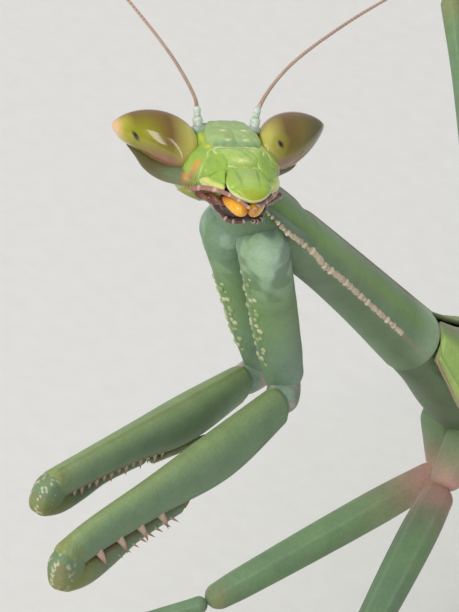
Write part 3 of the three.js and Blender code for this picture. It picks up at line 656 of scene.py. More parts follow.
def foot_shapes(leg, ankle):
    """A foot: five joints along a line that comes down from the ankle and then lies on the floor,
    each a little drop that is widest at its far end, and two curved claws. Nothing of it is
    lower than the floor."""
    length, bearing, _ = leg["tarsus"]
    out = heading(bearing, 0)
    half = length / 2
    reach = np.sqrt(half ** 2 - (ankle[2] - 0.3) ** 2)
    on_floor = [np.array([*ankle[:2], 0.3]) + out * (reach + past) for past in (0, half / 2, half)]
    t = np.linspace(0.002, 0.999, 220)
    centre = through([ankle, *on_floor], t)
    i = np.clip(np.searchsorted(FOOT_JOINTS, t) - 1, 0, 4)
    k = ((t - FOOT_JOINTS[i]) / (FOOT_JOINTS[i + 1] - FOOT_JOINTS[i]))[:, None]
    t, first = t[:, None], (i == 0)[:, None]
    wide = (0.22 - 0.02 * first + 0.1 * k ** 3 - 0.06 * hill(k, 1, 0.05)) * rounded(t / 0.02)
    rings = sweep(centre, (0, 0, 1), wide, np.minimum(wide, 0.27), around(28))
    rings[..., 2] = np.maximum(rings[..., 2], 0.0)
    tint = laid(FOOT_TAN, (CELADON, 0.8 * first * (1 - k)), (KNEE_BROWN, hill(k, 1, 0.12)))
    shapes = [tube(rings, tint)]
    across = np.cross(out, (0, 0, 1))
    for way in (1, -1):
        tip = centre[-1] + out * 0.55 + across * way * 0.38
        tip[2] = 0.06
        bend = across * way * 0.08 + (0, 0, 0.16)
        shapes.append(spike(centre[-1], tip, 0.09, FOOT_TAN, CLAW_BROWN, bend=bend))
    return shapes


limb_finish = cuticle("limb_cuticle", 0.5, mottle=0.14, patch=0.8, gleam=0.35)
foot_finish = cuticle("foot_cuticle", 0.5, mottle=0.25, patch=1.2)
for name, leg in LEGS.items():
    sizes = WALKING[name[:-2]]
    root = np.array(leg["root"])
    hip = laid_off(root, leg["coxa"])
    knee = laid_off(hip, leg["femur"])
    length, bearing = leg["tibia"]
    fall = np.degrees(np.arcsin((leg["tarsus"][2] - knee[2]) / length))
    ankle = laid_off(knee, (length, bearing, fall))
    hip_piece = lined(limb(root, hip, sizes["coxa"], up=(0, 1, 0)), (0.6, 2.2, 3.9), end_pink=1.2)
    thigh = limb(hip, knee, sizes["femur"], deep=sizes["deep"], rows=160, points=72)
    thigh = lined(thigh, np.radians((60, 120, 240, 300)), knee=0.6, root_pink=1.3)
    shin = limb(knee, ankle, sizes["tibia"], up=(0, 1, 0), rows=160, points=60)
    shin = lined(shin, np.radians((0, 90, 180, 270)), knee=0.4)
    along = unit(ankle - knee)
    across = np.cross(along, (0, 1, 0))
    spurs = [spike(ankle - along * 0.3 + way * across * 0.2, ankle + along * 0.5 + way * across * 0.5,
                   0.09, FOOT_TAN, CLAW_BROWN) for way in (1, -1)]
    made(f"{name}_hip", [hip_piece], limb_finish, f"{name}_coxa")
    made(f"{name}_thigh", [thigh], limb_finish, f"{name}_femur")
    made(f"{name}_shin", [shin, *spurs], limb_finish, f"{name}_tibia")
    made(f"{name}_foot", foot_shapes(leg, ankle), foot_finish, f"{name}_tarsus")

# ---------------------------------------------------------------- grasping legs
# The forelegs are folded: a long root piece hangs from the front of the thorax, then a small
# pinkish hinge piece, a deep thigh with four big pale spines on its outer edge and a row of
# small ones on its inner edge, and a toothed shin that shuts against it and ends in a claw.
ARMS = {
    "fore_l": dict(root=(1.3, -16.5, 32.5), coxa=(11.8, 191, -57), trochanter=(1.4, 41, -6.5),
                   femur=(16.2, 11, -7.5), side=(0.25, 0, -1),
                   bow=[[0, 0], [0.3, 0.34], [0.6, 0.05], [0.85, -0.18], [1, -0.1]]),
    "fore_r": dict(root=(-1.4, -15.9, 31.7), coxa=(12, 185, -55), trochanter=(1.5, 6, -10),
                   femur=(16.2, 12.7, 3), side=(-0.05, 0, -1),
                   bow=[[0, 0], [0.3, 0.34], [0.6, 0.1], [1, 0]]),
}
# What differs in the skin of the two arms: the pale bloom near the root, where the root's rows of
# tubercles start and their step, the thigh's paleness, which on the right arm is partly painted
# light that lifts the shade on that thigh, and the place of its inner row of spines as a share of
# its half-width.
ARM_SKIN = {
    "fore_l": dict(bloom=0.95, first=0.2, step=0.038, pale_and_painted_light=0.2, inner_row=-0.12),
    "fore_r": dict(bloom=0.5, first=0.34, step=0.029, pale_and_painted_light=0.5, inner_row=-0.75),
}
ARM_ROOT = [[0, 1.12], [0.3, 1.05], [0.7, 0.98], [1, 0.82]]
ARM_HINGE = [[0, 0.62], [0.5, 0.74], [1, 0.66]]
ARM_THIGH = [[0, 0.66], [0.3, 0.88], [0.6, 0.68], [1, 0.54]]
ARM_SHIN = [[0, 0.5], [0.16, 0.56], [0.36, 0.48], [0.6, 0.34], [1, 0.3]]
ARM_SHIN_BOW = [[0, -0.06], [0.2, 0.2], [0.4, 0.14], [0.6, 0], [1, 0]]
LOWER_EDGE = 0.75  # angle of the thigh's two lower edges on its rings, from its side, in radians
TUBERCLE_ROWS = (1.45, 1.92)
MIST = lit(170, 192, 190)
MINT = lit(176, 206, 174)
KNEE_YELLOW = lit(132, 134, 66)
SAGE_STRIPE_AND_HIGHLIGHT = lit(146, 168, 116)
SPINE_PINK = lit(206, 178, 160)
SPINE_DARK = lit(110, 62, 48)
RUST = lit(158, 96, 62)


def arm_root(name, left, root, end):
    """The root piece: a long limb with two raised lines, patches of pale bloom by its top, and two
    uneven rows of small flat balls, set on its rings by their place and angle."""
    skin = ARM_SKIN[name]
    up = unit(np.cross(end - root, (1, 0, 0)))
    rings, t, a = limb(root, end, ARM_ROOT, up=up, rows=220, points=96)
    lines = turned(a, 1.67, 0.14) + turned(a, 4.7, 0.14)
    neck_fold = 0.05 * hill(t, 0.16, 0.02) * blotch(rings, 0.9, left)
    rings = raised(rings, 0.06 * lines + 0.03 * blotch(rings, 1.5, left) + neck_fold)
    bloom = skin["bloom"] * ramp(blotch(rings, 0.75, 2.0 + left), 0.4, 0.65) * ramp(t, 0.417, 0.139)
    tone = laid(CELADON, (MIST, 0.35 * hill(t, 0, 0.2)), (MINT, bloom), (MOSS, 0.6 * hill(t, 0.48, 0.2)),
                (MIST, 0.35 * ramp(t, 0.375, 1)), (LEAF, 0.35 * turned(a, np.pi / 2, 0.5)))
    shapes = [tube(rings, tone)]
    for side, angle in enumerate(TUBERCLE_ROWS):
        for i in range(16):
            place = skin["first"] + i * skin["step"] + 0.012 * np.sin(i * 2.7 + side)
            row = np.searchsorted(t[:, 0], place)
            at = rings[row, round((angle + 0.1 * np.sin(i * 1.9 + 2 * side)) / (2 * np.pi) * len(a))]
            size = (0.13 + 0.035 * np.sin(i * 2.3 + side)) * np.sin(np.pi * (place - 0.05)) ** 0.6
            colour = laid(BONE, (LEAF, 0.55 + 0.2 * np.sin(i * 1.3)))
            shapes.append(bead(at, size, colour, unit(at - rings[row].mean(0))))
    return shapes


def arm_hinge(left, end, hip, below):
    """The hinge piece: a short fat limb that reaches into both neighbours, with pink patches."""
    reach = (hip - end) * 0.35
    rings, t, a = limb(end - reach, hip + reach, ARM_HINGE, up=below)
    tint = laid(CELADON, (HINGE_PINK, 1.3 * blotch(rings, 0.7, 5.0 + left) ** 3), (MIST, 0.3))
    return [tube(raised(rings, 0.03 * turned(a, 1.2, 0.3)), tint)]


def arm_thigh(name, left, hip, knee, along, below, out):
    """The thigh: a deep limb with a line on its back, an edge along each lower side and a groove
    between them that takes the shin, a squarish speckled lobe at the knee, and spines."""
    skin, bow = ARM_SKIN[name], ARMS[name]["bow"]
    rings, t, a = limb(hip, knee, ARM_THIGH, deep=1.3, up=below, bow=bow, rows=260, points=110)
    inner_edge = LOWER_EDGE if out @ np.cross(below, along) < 0 else np.pi - LOWER_EDGE
    lines = sum(turned(a, k, 0.1) for k in (-np.pi / 2, LOWER_EDGE, np.pi - LOWER_EDGE))
    groove = turned(a, np.pi / 2, 0.35) * ramp(t, 0.3, 0.467)
    rings = raised(rings, 0.05 * lines - 0.16 * groove)
    # Pale sage stripes either side of the back: the thigh's own stripes, and painted highlight along its
    # upper edges.
    stripes_and_highlight = turned(a, -1.25, 0.5) + turned(a, np.pi + 1.25, 0.5)
    by_knee = 0.5 * hill(t, 1, 0.05) + 0.3 * hill(t, 1, 0.1) * blotch(rings, 0.35, 3.0 + left)
    specks = blotch(rings, 0.13, left) > 0.86
    # Painted light: the right thigh is painted paler than the left to lift the shade on it.
    tone = laid(CELADON, (PALE_CELADON, skin["pale_and_painted_light"]), (SAGE_STRIPE_AND_HIGHLIGHT, 0.75 * stripes_and_highlight),
                (KNEE_BROWN, 0.25 * turned(a, -np.pi / 2, 0.09)), (MOSS, 0.15 * blotch(rings, 2.5, left)),
                (RUST, 0.8 * groove), (RUST, 0.8 * turned(a, inner_edge, 0.2) * hill(t, 0.74, 0.17)),
                (KNEE_YELLOW, by_knee), (PALE_CELADON, 0.4 * hill(t, 1, 0.08) * specks))
    lobe = rings_about(knee + below * 0.36 - along * 0.5, along * 0.92, below * 0.92, out * 0.56,
                       rows=90, points=110, power=2.8)
    far = ramp((lobe - knee) @ along, -0.55, 0.35)
    lobe_tone = laid(CELADON, (KNEE_YELLOW, 0.85 * ramp((lobe - knee) @ below, 0.1, 1.0)),
                     (KNEE_BROWN, 0.7 * far ** 2 * blotch(lobe, 0.4, 1.0 + left)),
                     (BONE, 0.6 * ramp(blotch(lobe, 0.16, 1.0 + left), 0.78, 0.98) * far ** 0.5))
    shapes = [tube(rings, tone), tube(lobe, lobe_tone)]

    def foot_at(t, share):
        """A place low on the thigh, moved out by a share of its half-width there."""
        half = profile(ARM_THIGH, t)
        return hip + (knee - hip) * t + below * (half * 0.8 + profile(bow, t)) + out * half * share

    lean = unit(below + out * 0.55 - along * 0.15)
    for i in range(4):
        foot = foot_at(0.6 + i * 0.088, 0.5)
        shapes.append(spike(foot, foot + lean * 0.9, 0.2, SPINE_PINK, SPINE_DARK, bend=along * -0.06))
    lean = unit(below - out * 0.25 - along * 0.1)
    for i in range(13):
        foot = foot_at(0.45 + i * 0.036, skin["inner_row"])
        tip = foot + lean * (0.5 if i % 2 else 0.36)
        shapes.append(spike(foot, tip, 0.1, SPINE_PINK, SPINE_DARK, rows=6, points=8))
    return shapes


def arm_shin(start, end, along, below, out):
    """The shin: a limb that is thickest by the knee, a row of small spines, and the end claw."""
    rings, t, a = limb(start, end, ARM_SHIN, deep=1.15, up=below, bow=ARM_SHIN_BOW, rows=140, points=60)
    tone = laid(CELADON, (RUST, 0.8 * turned(a, -np.pi / 2, 0.8)), (KNEE_YELLOW, 0.8 * hill(t, 0.05, 0.16)))
    shapes = [tube(rings, tone)]
    lean = unit(out + below * 0.4 - along * 0.2)
    for i in range(11):
        foot = start + (end - start) * (0.2 + i * 0.066) + out * 0.1
        shapes.append(spike(foot, foot + lean * 0.62, 0.1, SPINE_PINK, SPINE_DARK, rows=6, points=8))
    claw_tip = end + unit(-below - along * 1.6) * 1.5
    return [*shapes, spike(end, claw_tip, 0.26, KNEE_BROWN, SPINE_DARK, bend=below * 0.12)]


def arm_foot(shin_end, along, below, out):
    """The foot: a thin straight limb that lies back along the shin, waisted at its joints, and
    two tiny claws."""
    start, end = shin_end - out * 0.35, shin_end - along * 5.2 - out * 0.9
    rings, t, _ = limb(start, end, [[0, 0.2], [1, 0.18]], rows=120, points=24)
    waists = sum(hill(t, k, 0.012) for k in (0.5, 0.66, 0.78, 0.88))
    foot = tube(raised(rings, -0.07 * waists), laid(FOOT_TAN, (KNEE_BROWN, waists)))
    tips = [end - along * 0.3 + below * way * 0.25 for way in (1, -1)]
    return [foot, *[spike(end, tip, 0.07, FOOT_TAN, CLAW_BROWN, rows=6, points=8) for tip in tips]]


hinge_finish = cuticle("hinge_cuticle", 0.42, mottle=0.3, patch=1.5)
for name, arm in ARMS.items():
    left = SIDES[name[-1]]
    root = np.array(arm["root"])
    end = laid_off(root, arm["coxa"])
    hip = laid_off(end, arm["trochanter"])
    knee = laid_off(hip, arm["femur"])
    along = unit(knee - hip)
    below = np.array(arm["side"])
    below = unit(below - along * below.dot(along))
    out = np.cross(below, along)
    out = out * np.sign(out[0] * left)
    shin_end = knee + below * 1.38 - along * 8.6
    upper = arm_root(name, left, root, end)
    hinge = arm_hinge(left, end, hip, below)
    thigh = arm_thigh(name, left, hip, knee, along, below, out)
    shin = arm_shin(knee + below * 0.8, shin_end, along, below, out)
    foot = arm_foot(shin_end, along, below, out)
    made(f"{name}_arm_root", upper, limb_finish, f"{name}_coxa")
    made(f"{name}_arm_hinge", hinge, hinge_finish, f"{name}_trochanter")
    made(f"{name}_arm_thigh", thigh, limb_finish, f"{name}_femur")
    made(f"{name}_arm_shin", shin, limb_finish, f"{name}_tibia")
    made(f"{name}_arm_foot", foot, foot_finish, f"{name}_tarsus")

# ---------------------------------------------------------------- head
# A hard three-cornered box, wider than long, turned so that the face looks up. The plates of the
# face are cast in one with it: a wide shield under the feelers, a lip plate below it, and a cheek
# that runs out under each eye, all parted by pale seams. Places are (left, forward, up) in the
# head's own frame, in mm.
HEAD_CENTRE = np.array([-0.93, -18.28, 36.49])
HEAD_LEFT, HEAD_FACE = unit(np.array([0.511, 0.856, 0.081])), unit(np.array([0.212, -0.216, 0.953]))
HEAD_UP = np.cross(HEAD_FACE, HEAD_LEFT)
FACE_MIDDLE = 0.13
BOX_LOW, BOX_HIGH = -3.75, 0.56
face_half = [[-3.7, 1.35], [-3, 1.95], [-2.2, 2.15], [-1.4, 2.05], [-0.6, 1.8], [0, 1.4], [0.5, 0.8]]
face_front = [[-3.7, 1.6], [-2.3, 1.42], [-1.5, 1.28], [-0.8, 1.08], [-0.1, 0.5], [0.5, -0.22]]
face_back = [[-3.7, -0.3], [-3, -1.1], [-1.8, -1.8], [-0.3, -1.75], [0.5, -1.1]]
EYE_ROOT, EYE_TIP = 1.4, 4.52
TEAL = lit(116, 158, 122)
SAGE = lit(160, 185, 122)
FACE_GREEN = lit(146, 180, 76)
SEAM = lit(226, 232, 176)
YELLOW = lit(206, 202, 70)
SPOT_CREAM = lit(226, 226, 160)
ORANGE_SPOT = lit(212, 150, 72)
MOUTH_PAINTED_SHADE = lit(52, 32, 24)
BAND_OLIVE = lit(86, 80, 40)
BAND_TAN = lit(168, 118, 58)
CHEEK_SHADE = lit(112, 132, 104)
LIP_GREEN = lit(182, 208, 116)


def eye_high(x):
    """The height of an eye's middle line at x outward: a parabola."""
    return -1.42 + 0.52 * (x - 1.4) - 0.018 * (x - 1.4) ** 2


def eye_front(x):
    """How far forward an eye's middle line lies at x outward: it falls off as a parabola."""
    return 0.03 + 0.057 * (4.5 - x) ** 2


def eye_round(x):
    """An eye's half height at x outward. k runs from 0 at its root to 1 at its tip, and the curve
    is a power of k that swells it, times a power of 1 - k that closes it."""
    k = ramp(x, 1.24, EYE_TIP)
    return 3.03 * k ** 0.5 * (1 - k) ** 0.76


def in_head(p):
    """Places of the head's frame in the animal's frame."""
    return HEAD_CENTRE + p @ np.array([HEAD_LEFT, HEAD_FACE, HEAD_UP])


def mirrored(corners):
    """A plate's outline from its left half, mirrored over the middle of the face."""
    half = np.array(corners, float)
    return np.concatenate([half, half[::-1] * (-1, 1)]) + (FACE_MIDDLE, 0)


def off_side(start, end, x, z):
    """The distance of each place from the straight side between two (x, z) corners: k is the
    share of the side at the nearest place on it."""
    (ax, az), (bx, bz) = start, end
    k = np.clip(((x - ax) * (bx - ax) + (z - az) * (bz - az)) / ((bx - ax) ** 2 + (bz - az) ** 2), 0, 1)
    return np.hypot(x - ax - k * (bx - ax), z - az - k * (bz - az))


def inside(outline, x, z):
    """How deep inside a plate's outline each place lies, negative outside it: the distance to the
    nearest side, with its sign from how many sides lie to the right of the place."""
    nearest, crossed = np.inf, 0
    for start, end in zip(outline, np.roll(outline, -1, 0)):
        nearest = np.minimum(nearest, off_side(start, end, x, z))
        spans = (start[1] > z) != (end[1] > z)
        level = start[0] + (z - start[1]) * (end[0] - start[0]) / (end[1] - start[1] + 1e-9)
        crossed = crossed + (spans & (x < level))
    return np.where(crossed % 2, nearest, -nearest)


def ribbon(line, x, z, wide):
    """A soft stripe along a broken line of (x, z) corners, 1 on it and fallen to a third at wide."""
    return hill(np.min([off_side(*side, x, z) for side in zip(line[:-1], line[1:])], 0), 0, wide)


def dot(x, z, centre, wide, high):
    """A soft oval spot."""
    return hill(x, centre[0], wide) * hill(z, centre[1], high)


SHIELD = mirrored([(0.3, -2.2), (1.02, -2.1), (1.2, -1.75), (1.22, -1.2), (1.05, -0.62), (0.7, -0.3),
                   (0.25, -0.2)])
LIP_PLATE = mirrored([(0.3, -3.5), (0.62, -3.42), (0.9, -2.85), (1.06, -2.42), (0.95, -2.27),
                      (0.3, -2.27)])
CHEEK_SEAM = [(1.1, -2.3), (1.3, -2.45), (1.36, -2.75), (1.62, -3.1), (1.84, -3.6)]
CHEEK_SPOT = [(1.78, -2.9), (2.02, -3.18)]
CHEEK_BANDS = {
    1: [(1.23, 0.3, -2.75), (1.78, 0.02, -2.3), (2.38, -0.25, -1.85), (2.98, -0.4, -1.42),
        (3.38, -0.4, -1.1)],
    -1: [(1.4, 0.3, -3.11), (1.8, 0.2, -2.87), (2.18, 0.0, -2.57), (2.63, -0.2, -2.22),
         (3.05, -0.35, -1.7), (3.47, -0.33, -1.1), (3.9, -0.3, -0.62)],
}
BAND_SCALE = {1: 0.7, -1: 1}
BAND_TEETH = 26
band_width = [[0, 0.44], [0.4, 0.42], [0.7, 0.34], [0.88, 0.17], [1, 0.04]]


def eye_hollow(x, f, z):
    """1 beside an eye and falling off away from it: by the distance to the round skin of the eye,
    and inward of the eye's root by the distance to its rim."""
    reach = np.maximum(np.abs(x), 1.5)
    gap = np.hypot((f - eye_front(reach)) / 0.8, z - eye_high(reach)) - eye_round(reach)
    return np.exp(-np.hypot(np.maximum(gap, 0), np.maximum(1.5 - np.abs(x), 0)) / 0.14)


def face_box():
    """Level rings from the edge of the mouth to the crown, each between the front and back
    profiles and squarer than an ellipse (both sines to the power 0.7), with more points on the
    face than behind. Plates are pillows raised inside their outlines, and seams are grooves."""
    z = np.linspace(BOX_LOW, BOX_HIGH, 200)[:, None]
    end = rounded((BOX_HIGH + 0.01 - z) / 0.25) * rounded((z + 0.01 - BOX_LOW) / 0.2)
    a = around(380)
    a = a - 0.45 * np.sin(2 * (a - np.pi / 2)) / 2 + 0.3 * np.cos(a)
    front, back = profile(face_front, z), profile(face_back, z)
    c, s = (np.sign(v) * np.abs(v) ** 0.7 for v in (np.cos(a), np.sin(a)))
    x = profile(face_half, z) * end * c
    f = (front + back) / 2 + (front - back) / 2 * end * s
    z = z + 0 * x
    mid = x - FACE_MIDDLE
    out = np.abs(mid)
    face = ramp(f, -0.1, 0.233)
    shield, lip = inside(SHIELD, x, z), inside(LIP_PLATE, x, z)
    pillow = 0.1 * (1 - np.exp(-np.maximum(shield, 0) / 0.12))
    pillow = pillow + 0.13 * (1 - np.exp(-np.maximum(lip, 0) / 0.2))
    bulge = 0.07 * dot(out, z, (0.45, -1.6), 0.35, 0.3) + 0.06 * dot(out, z, (0.0, -2.9), 0.3, 0.35)
    wrinkle = 0.018 * np.sin(9 * z + 5 * np.abs(x)) * np.sin(11 * x + 2 * z)
    brow = 0.08 * hill(z, -0.42, 0.12) * (out < 1.2)
    seams = 0.05 * (hill(shield, 0, 0.03) + hill(lip, 0, 0.03))
    cheek_seam = (1 - 0.75 * hill(z, -2.95, 0.2)) * ribbon(CHEEK_SEAM, out, z, 0.03) * face
    dent = 0.06 * dot(out, z, (0.5, -0.95), 0.5, 0.14) + 0.05 * dot(out, z, (0.0, -1.6), 0.1, 0.5)
    height = pillow + bulge + wrinkle + brow - seams - dent - 0.26 * eye_hollow(x, f, z)
    rings = raised(np.stack([x, f, z], -1), height * face - 0.035 * cheek_seam)
    # The teal line just above the shield's lower edge is painted shadow in the groove there, and the mist
    # line on that edge is painted highlight along its rim.
    tone = laid(
        FACE_GREEN,
        (SAGE, 0.95 * ramp(shield, -0.05, 0.05)),
        (TEAL, 0.9 * ramp(z, -0.62, -0.165) + 0.55 * hill(z, -2.06, 0.1) * (out < 1.1)),
        (LIP_GREEN, 0.6 * ramp(lip, 0, 0.3)),
        (YELLOW, 0.95 * dot(out, z, (1.22, -2.12), 0.13, 0.13)),
        (YELLOW, 0.55 * dot(out, z, (1.34, -1.5), 0.12, 0.4)),
        (MIST, 0.4 * hill(shield, 0.03, 0.03) * (z > -0.9) + 0.35 * hill(z, -2.2, 0.03) * (out < 1.05)),
        (SPOT_CREAM, 0.95 * dot(out, z, (0.43, -1.28), 0.13, 0.07)),
        (SPOT_CREAM, 0.95 * dot(out, z, (0.37, -1.9), 0.12, 0.06)),
        (SPOT_CREAM, 0.95 * dot(mid, z, (-0.05, -3.2), 0.26, 0.1)),
        (SPOT_CREAM, 0.3 * dot(out, z, (0.5, -2.5), 0.25, 0.1)),
        (ORANGE_SPOT, 0.85 * ribbon(CHEEK_SPOT, out, z, 0.17) * face),
        (SEAM, 0.9 * hill(lip, -0.01, 0.04) * face + 0.4 * hill(shield, -0.02, 0.025) * (z < -1.9)
         + 0.55 * cheek_seam),
        (CHEEK_SHADE, 0.85 * ramp(out, 1.82, 2.02) * ramp(z, -2.95, -3.2)),
        (TEAL, 0.7 * ramp(f, -0.2, -1.2)))
    return tube(in_head(rings), tone)


def cheek_band(left):
    """The rim of the head under an eye: a flat tapering limb from the cheek out to the eye's tip,
    with tiny teeth along its lower edge and a thin tan line on them."""
    t = np.linspace(0, 1, 160)
    line = through(np.array(CHEEK_BANDS[left]) * (left, 1, 1), t)
    t = t[:, None]
    wide = profile(band_width, t) * BAND_SCALE[left]
    rings = sweep(line, (0, 1, 0), wide, wide * 0.8, around(48))
    down = unit(np.array((left * 0.3, 0.1, -1.0)))
    facing = (rings - line[:, None]) @ down / np.maximum(wide, 0.02)
    teeth = 0.5 + 0.5 * np.cos(2 * np.pi * t * BAND_TEETH)
    rings = raised(rings, 0.03 * teeth * hill(facing, 1, 0.12))
    spot = dot(np.abs(rings[..., 0]), rings[..., 2], (1.93, -3.0), 0.2, 0.24)
    tone = laid(BAND_OLIVE, (TEAL, 0.35 * hill(t, 0.3, 0.2)), (BAND_TAN, 0.7 * hill(facing, 0.98, 0.05)),
                (FACE_GREEN, 0.9 * ramp(t, 0.2, 0)), (ORANGE_SPOT, 0.9 * spot))
    return tube(in_head(rings), tone)


def lump(centre, half):
    """A ball drawn out to half in each direction of the head's frame."""
    left, face, up = np.diag(half)
    return in_head(rings_about(np.array(centre), up, left, face, 40, 40))


head_finish = cuticle("head_cuticle", 0.34, mottle=0.14, patch=1.1, grain=0.3, coat=0.35)
# A dark lump behind the mouth parts: painted shade that shows in the gaps between them.
shade_behind_mouth = tube(lump((0, 0.55, -4.45), (1.2, 0.5, 1.0)), MOUTH_PAINTED_SHADE)
made("head_box", [face_box(), cheek_band(1), cheek_band(-1), shade_behind_mouth], head_finish, "head")

# ---------------------------------------------------------------- eyes
# Two smooth cones of clear lens over a coloured layer: yellow green at the inner rim and the outer
# half, brown between, mauve below and cream at the tip. A small dark spot lies where one looks
# straight down the facets.
EYES = {
    # spot is (place outward, degrees round, lean). pinch is how much the lower back is drawn in at
    # places outward, and bend moves the tip. The rest is how strong the colours are.
    "l": dict(spot=(2.11, -36, -0.4), pinch=[[1.4, 0], [3.3, 0.03], [4.52, 0]], bend=(0.1, 0.163, 0.19),
              lime=0.4, yellow=0.0, shaded_olive=0.75, cream_from=4.3),
    "r": dict(spot=(3.75, -50, 0.4), pinch=[[1.4, 0], [2.05, -0.12], [2.45, -0.02], [2.9, 0.14], [3.4, 0.28],
                                            [3.8, 0.22], [4.15, 0.07], [4.52, 0]], bend=(0, 0.03, 0.04),
              lime=0.95, yellow=0.85, shaded_olive=0.0, cream_from=4.12),
}
PINCH_AT = -2.4  # the angle round the eye at which it is pinched, in radians
EYE_BROWN = lit(112, 86, 34)
EYE_LIME = lit(142, 142, 18)
EYE_YELLOW = lit(184, 174, 60)
EYE_SHADED_OLIVE = lit(78, 70, 12)
EYE_RIM = lit(190, 184, 92)
EYE_ROSE = lit(150, 106, 70)
EYE_MAUVE = lit(156, 104, 92)
EYE_CREAM = lit(226, 188, 142)
EYE_DARK = lit(26, 16, 6)


def eye(side):
    """Round rings about a line that runs out and up, 0.8 as deep as high, by three smooth curves
    of the place x outward, closer together at the tip. Colours follow x and the ring's angle."""
    own = EYES[side]
    x = EYE_ROOT + (EYE_TIP - EYE_ROOT) * np.sin(np.linspace(0, np.pi / 2, 200))[:, None]
    a = around(300)
    r = eye_round(x) * (1 - profile(own["pinch"], x) * (0.5 + 0.5 * np.cos(a - PINCH_AT)) ** 3)
    forward, high = eye_front(x) + 0.8 * r * np.cos(a), eye_high(x) + r * np.sin(a)
    rings = np.stack([SIDES[side] * x + 0 * a, forward, high], -1)
    rings = rings + ramp(x, EYE_ROOT, EYE_TIP)[..., None] ** 2 * own["bend"]
    up = np.degrees((a + np.pi) % (2 * np.pi) - np.pi)
    at_x, at_up, lean = own["spot"]
    down = r * np.radians(up - at_up)
    spot = np.exp(-(((x - at_x - lean * down) / 0.1) ** 2 + (down / 0.19) ** 2) ** 2)
    # The dark olive over the outer half of the left eye, where the right eye is yellow, is painted shade.
    tone = laid(
        EYE_BROWN,
        (EYE_LIME, own["lime"] * ramp(x, 2.55, 3.35) * hill(up, -40, 52)),
        (EYE_YELLOW, own["yellow"] * ramp(x, 3.75, 4.1)),
        (EYE_SHADED_OLIVE, own["shaded_olive"] * ramp(x, 3.2, 4.0)),
        (EYE_LIME, 0.5 * hill(up, -62, 14) * hill(x, 2.5, 0.7)),
        (EYE_RIM, 0.95 * ramp(x, 2.45, 1.7)),
        (EYE_ROSE, 0.6 * ramp(up, 8, 48) * (up < 150)),
        (EYE_MAUVE, 0.9 * hill(up, -88, 17) * hill(x, 2.7, 0.6)),
        (EYE_RIM, 0.7 * hill(up, -112, 12)),
        (EYE_CREAM, ramp(x, own["cream_from"], own["cream_from"] + 0.25)),
        (EYE_LIME, 0.5 * hill(np.hypot(x - at_x, down), 0.3, 0.16)),
        (EYE_LIME, 0.65 * ramp(np.abs(up), 125, 155) * ramp(x, 4.3, 3.9)),
        (EYE_DARK, spot))
    return tube(in_head(rings), tone)


eye_finish = cuticle("eye_lens", 0.12, mottle=0.05, patch=1.5, grain=0.03, coat=0.8, deep=0.15, cells=34.0)
for side in SIDES:
    made(f"eye_{side}", [eye(side)], eye_finish, f"eye_{side}")

# ---------------------------------------------------------------- lip and jaws
# The upper lip is a glossy shield hinged under the lip plate. At each side a jaw plate closes the
# cheek, with a cream strip on its lower edge. Under them lie two glossy orange lobes on a
# rust-brown root, and a small leaf-shaped lobe stands out behind.
LIP_HALF = [(0.3, -3.4), (0.62, -3.48), (0.82, -3.95), (0.93, -4.5), (0.83, -4.95), (0.48, -5.3),
            (0.12, -5.45)]
LIP_FRONT = [[-5.6, 1.62], [-5.0, 1.74], [-4.5, 1.7], [-3.9, 1.58], [-3.44, 1.4]]
JAW = [(1.08, -2.66), (0.8, -2.62), (0.62, -3.25), (0.78, -3.75), (0.92, -4.45), (1.06, -4.58),
       (1.48, -4.08), (1.7, -3.52), (1.58, -3.1), (1.34, -2.8)]
JAW_STRIP = [(1.62, -3.55), (1.44, -4.0), (1.03, -4.47)]
JAW_GROOVE = [(1.48, -3.45), (1.2, -3.92), (0.86, -4.28)]
BULB = [[0, 0.14], [0.35, 0.25], [0.7, 0.3], [1, 0.2]]
BULB_ROOT = [[0, 0.12], [0.5, 0.19], [1, 0.17]]
LEAF_REACH = {1: 1.8, -1: 2.42}  # how far out the leaf-shaped lobe's point lies on each side
LIME = lit(160, 192, 70)
LIP_YELLOW = lit(168, 178, 44)
STRIP_CREAM = lit(222, 224, 130)
LOBE_OLIVE = lit(128, 136, 58)
LOBE_TAN = lit(168, 160, 80)
ORANGE = lit(242, 176, 36)
ORANGE_DEEP = lit(170, 84, 30)
RUST_BROWN = lit(88, 46, 32)


def domed(corners, surface, dome, deep, rows=44, points=140):
    """A domed plate. Its rim is a smooth closed line through (x, z) corners. Its face stands over
    surface(x, z) by dome times the root of 1 - k to the fourth, where k runs from 0 in the middle
    to 1 at the rim, and its back lies under it by deep times the same. Returns the rings, x, z
    and k of each point, and whether it is on the face."""
    n = len(corners)
    closed = np.concatenate([corners[-1:], corners, corners[:2]])
    rim = through(closed, (1 + n * np.linspace(0, 1, points, endpoint=False)) / (n + 2))
    middle = rim.mean(0)
    k = np.sin(np.linspace(0.03, np.pi / 2, rows))
    k = np.concatenate([k, k[-2::-1]])[:, None]
    on_face = (np.arange(len(k)) < rows)[:, None]
    x, z = (middle[axis] + (rim[:, axis] - middle[axis]) * k for axis in (0, 1))
    f = surface(x, z) + np.where(on_face, dome, -deep) * np.sqrt(np.clip(1 - k ** 4, 0, 1))
    return np.stack([x, f, z], -1), x, z, k, on_face


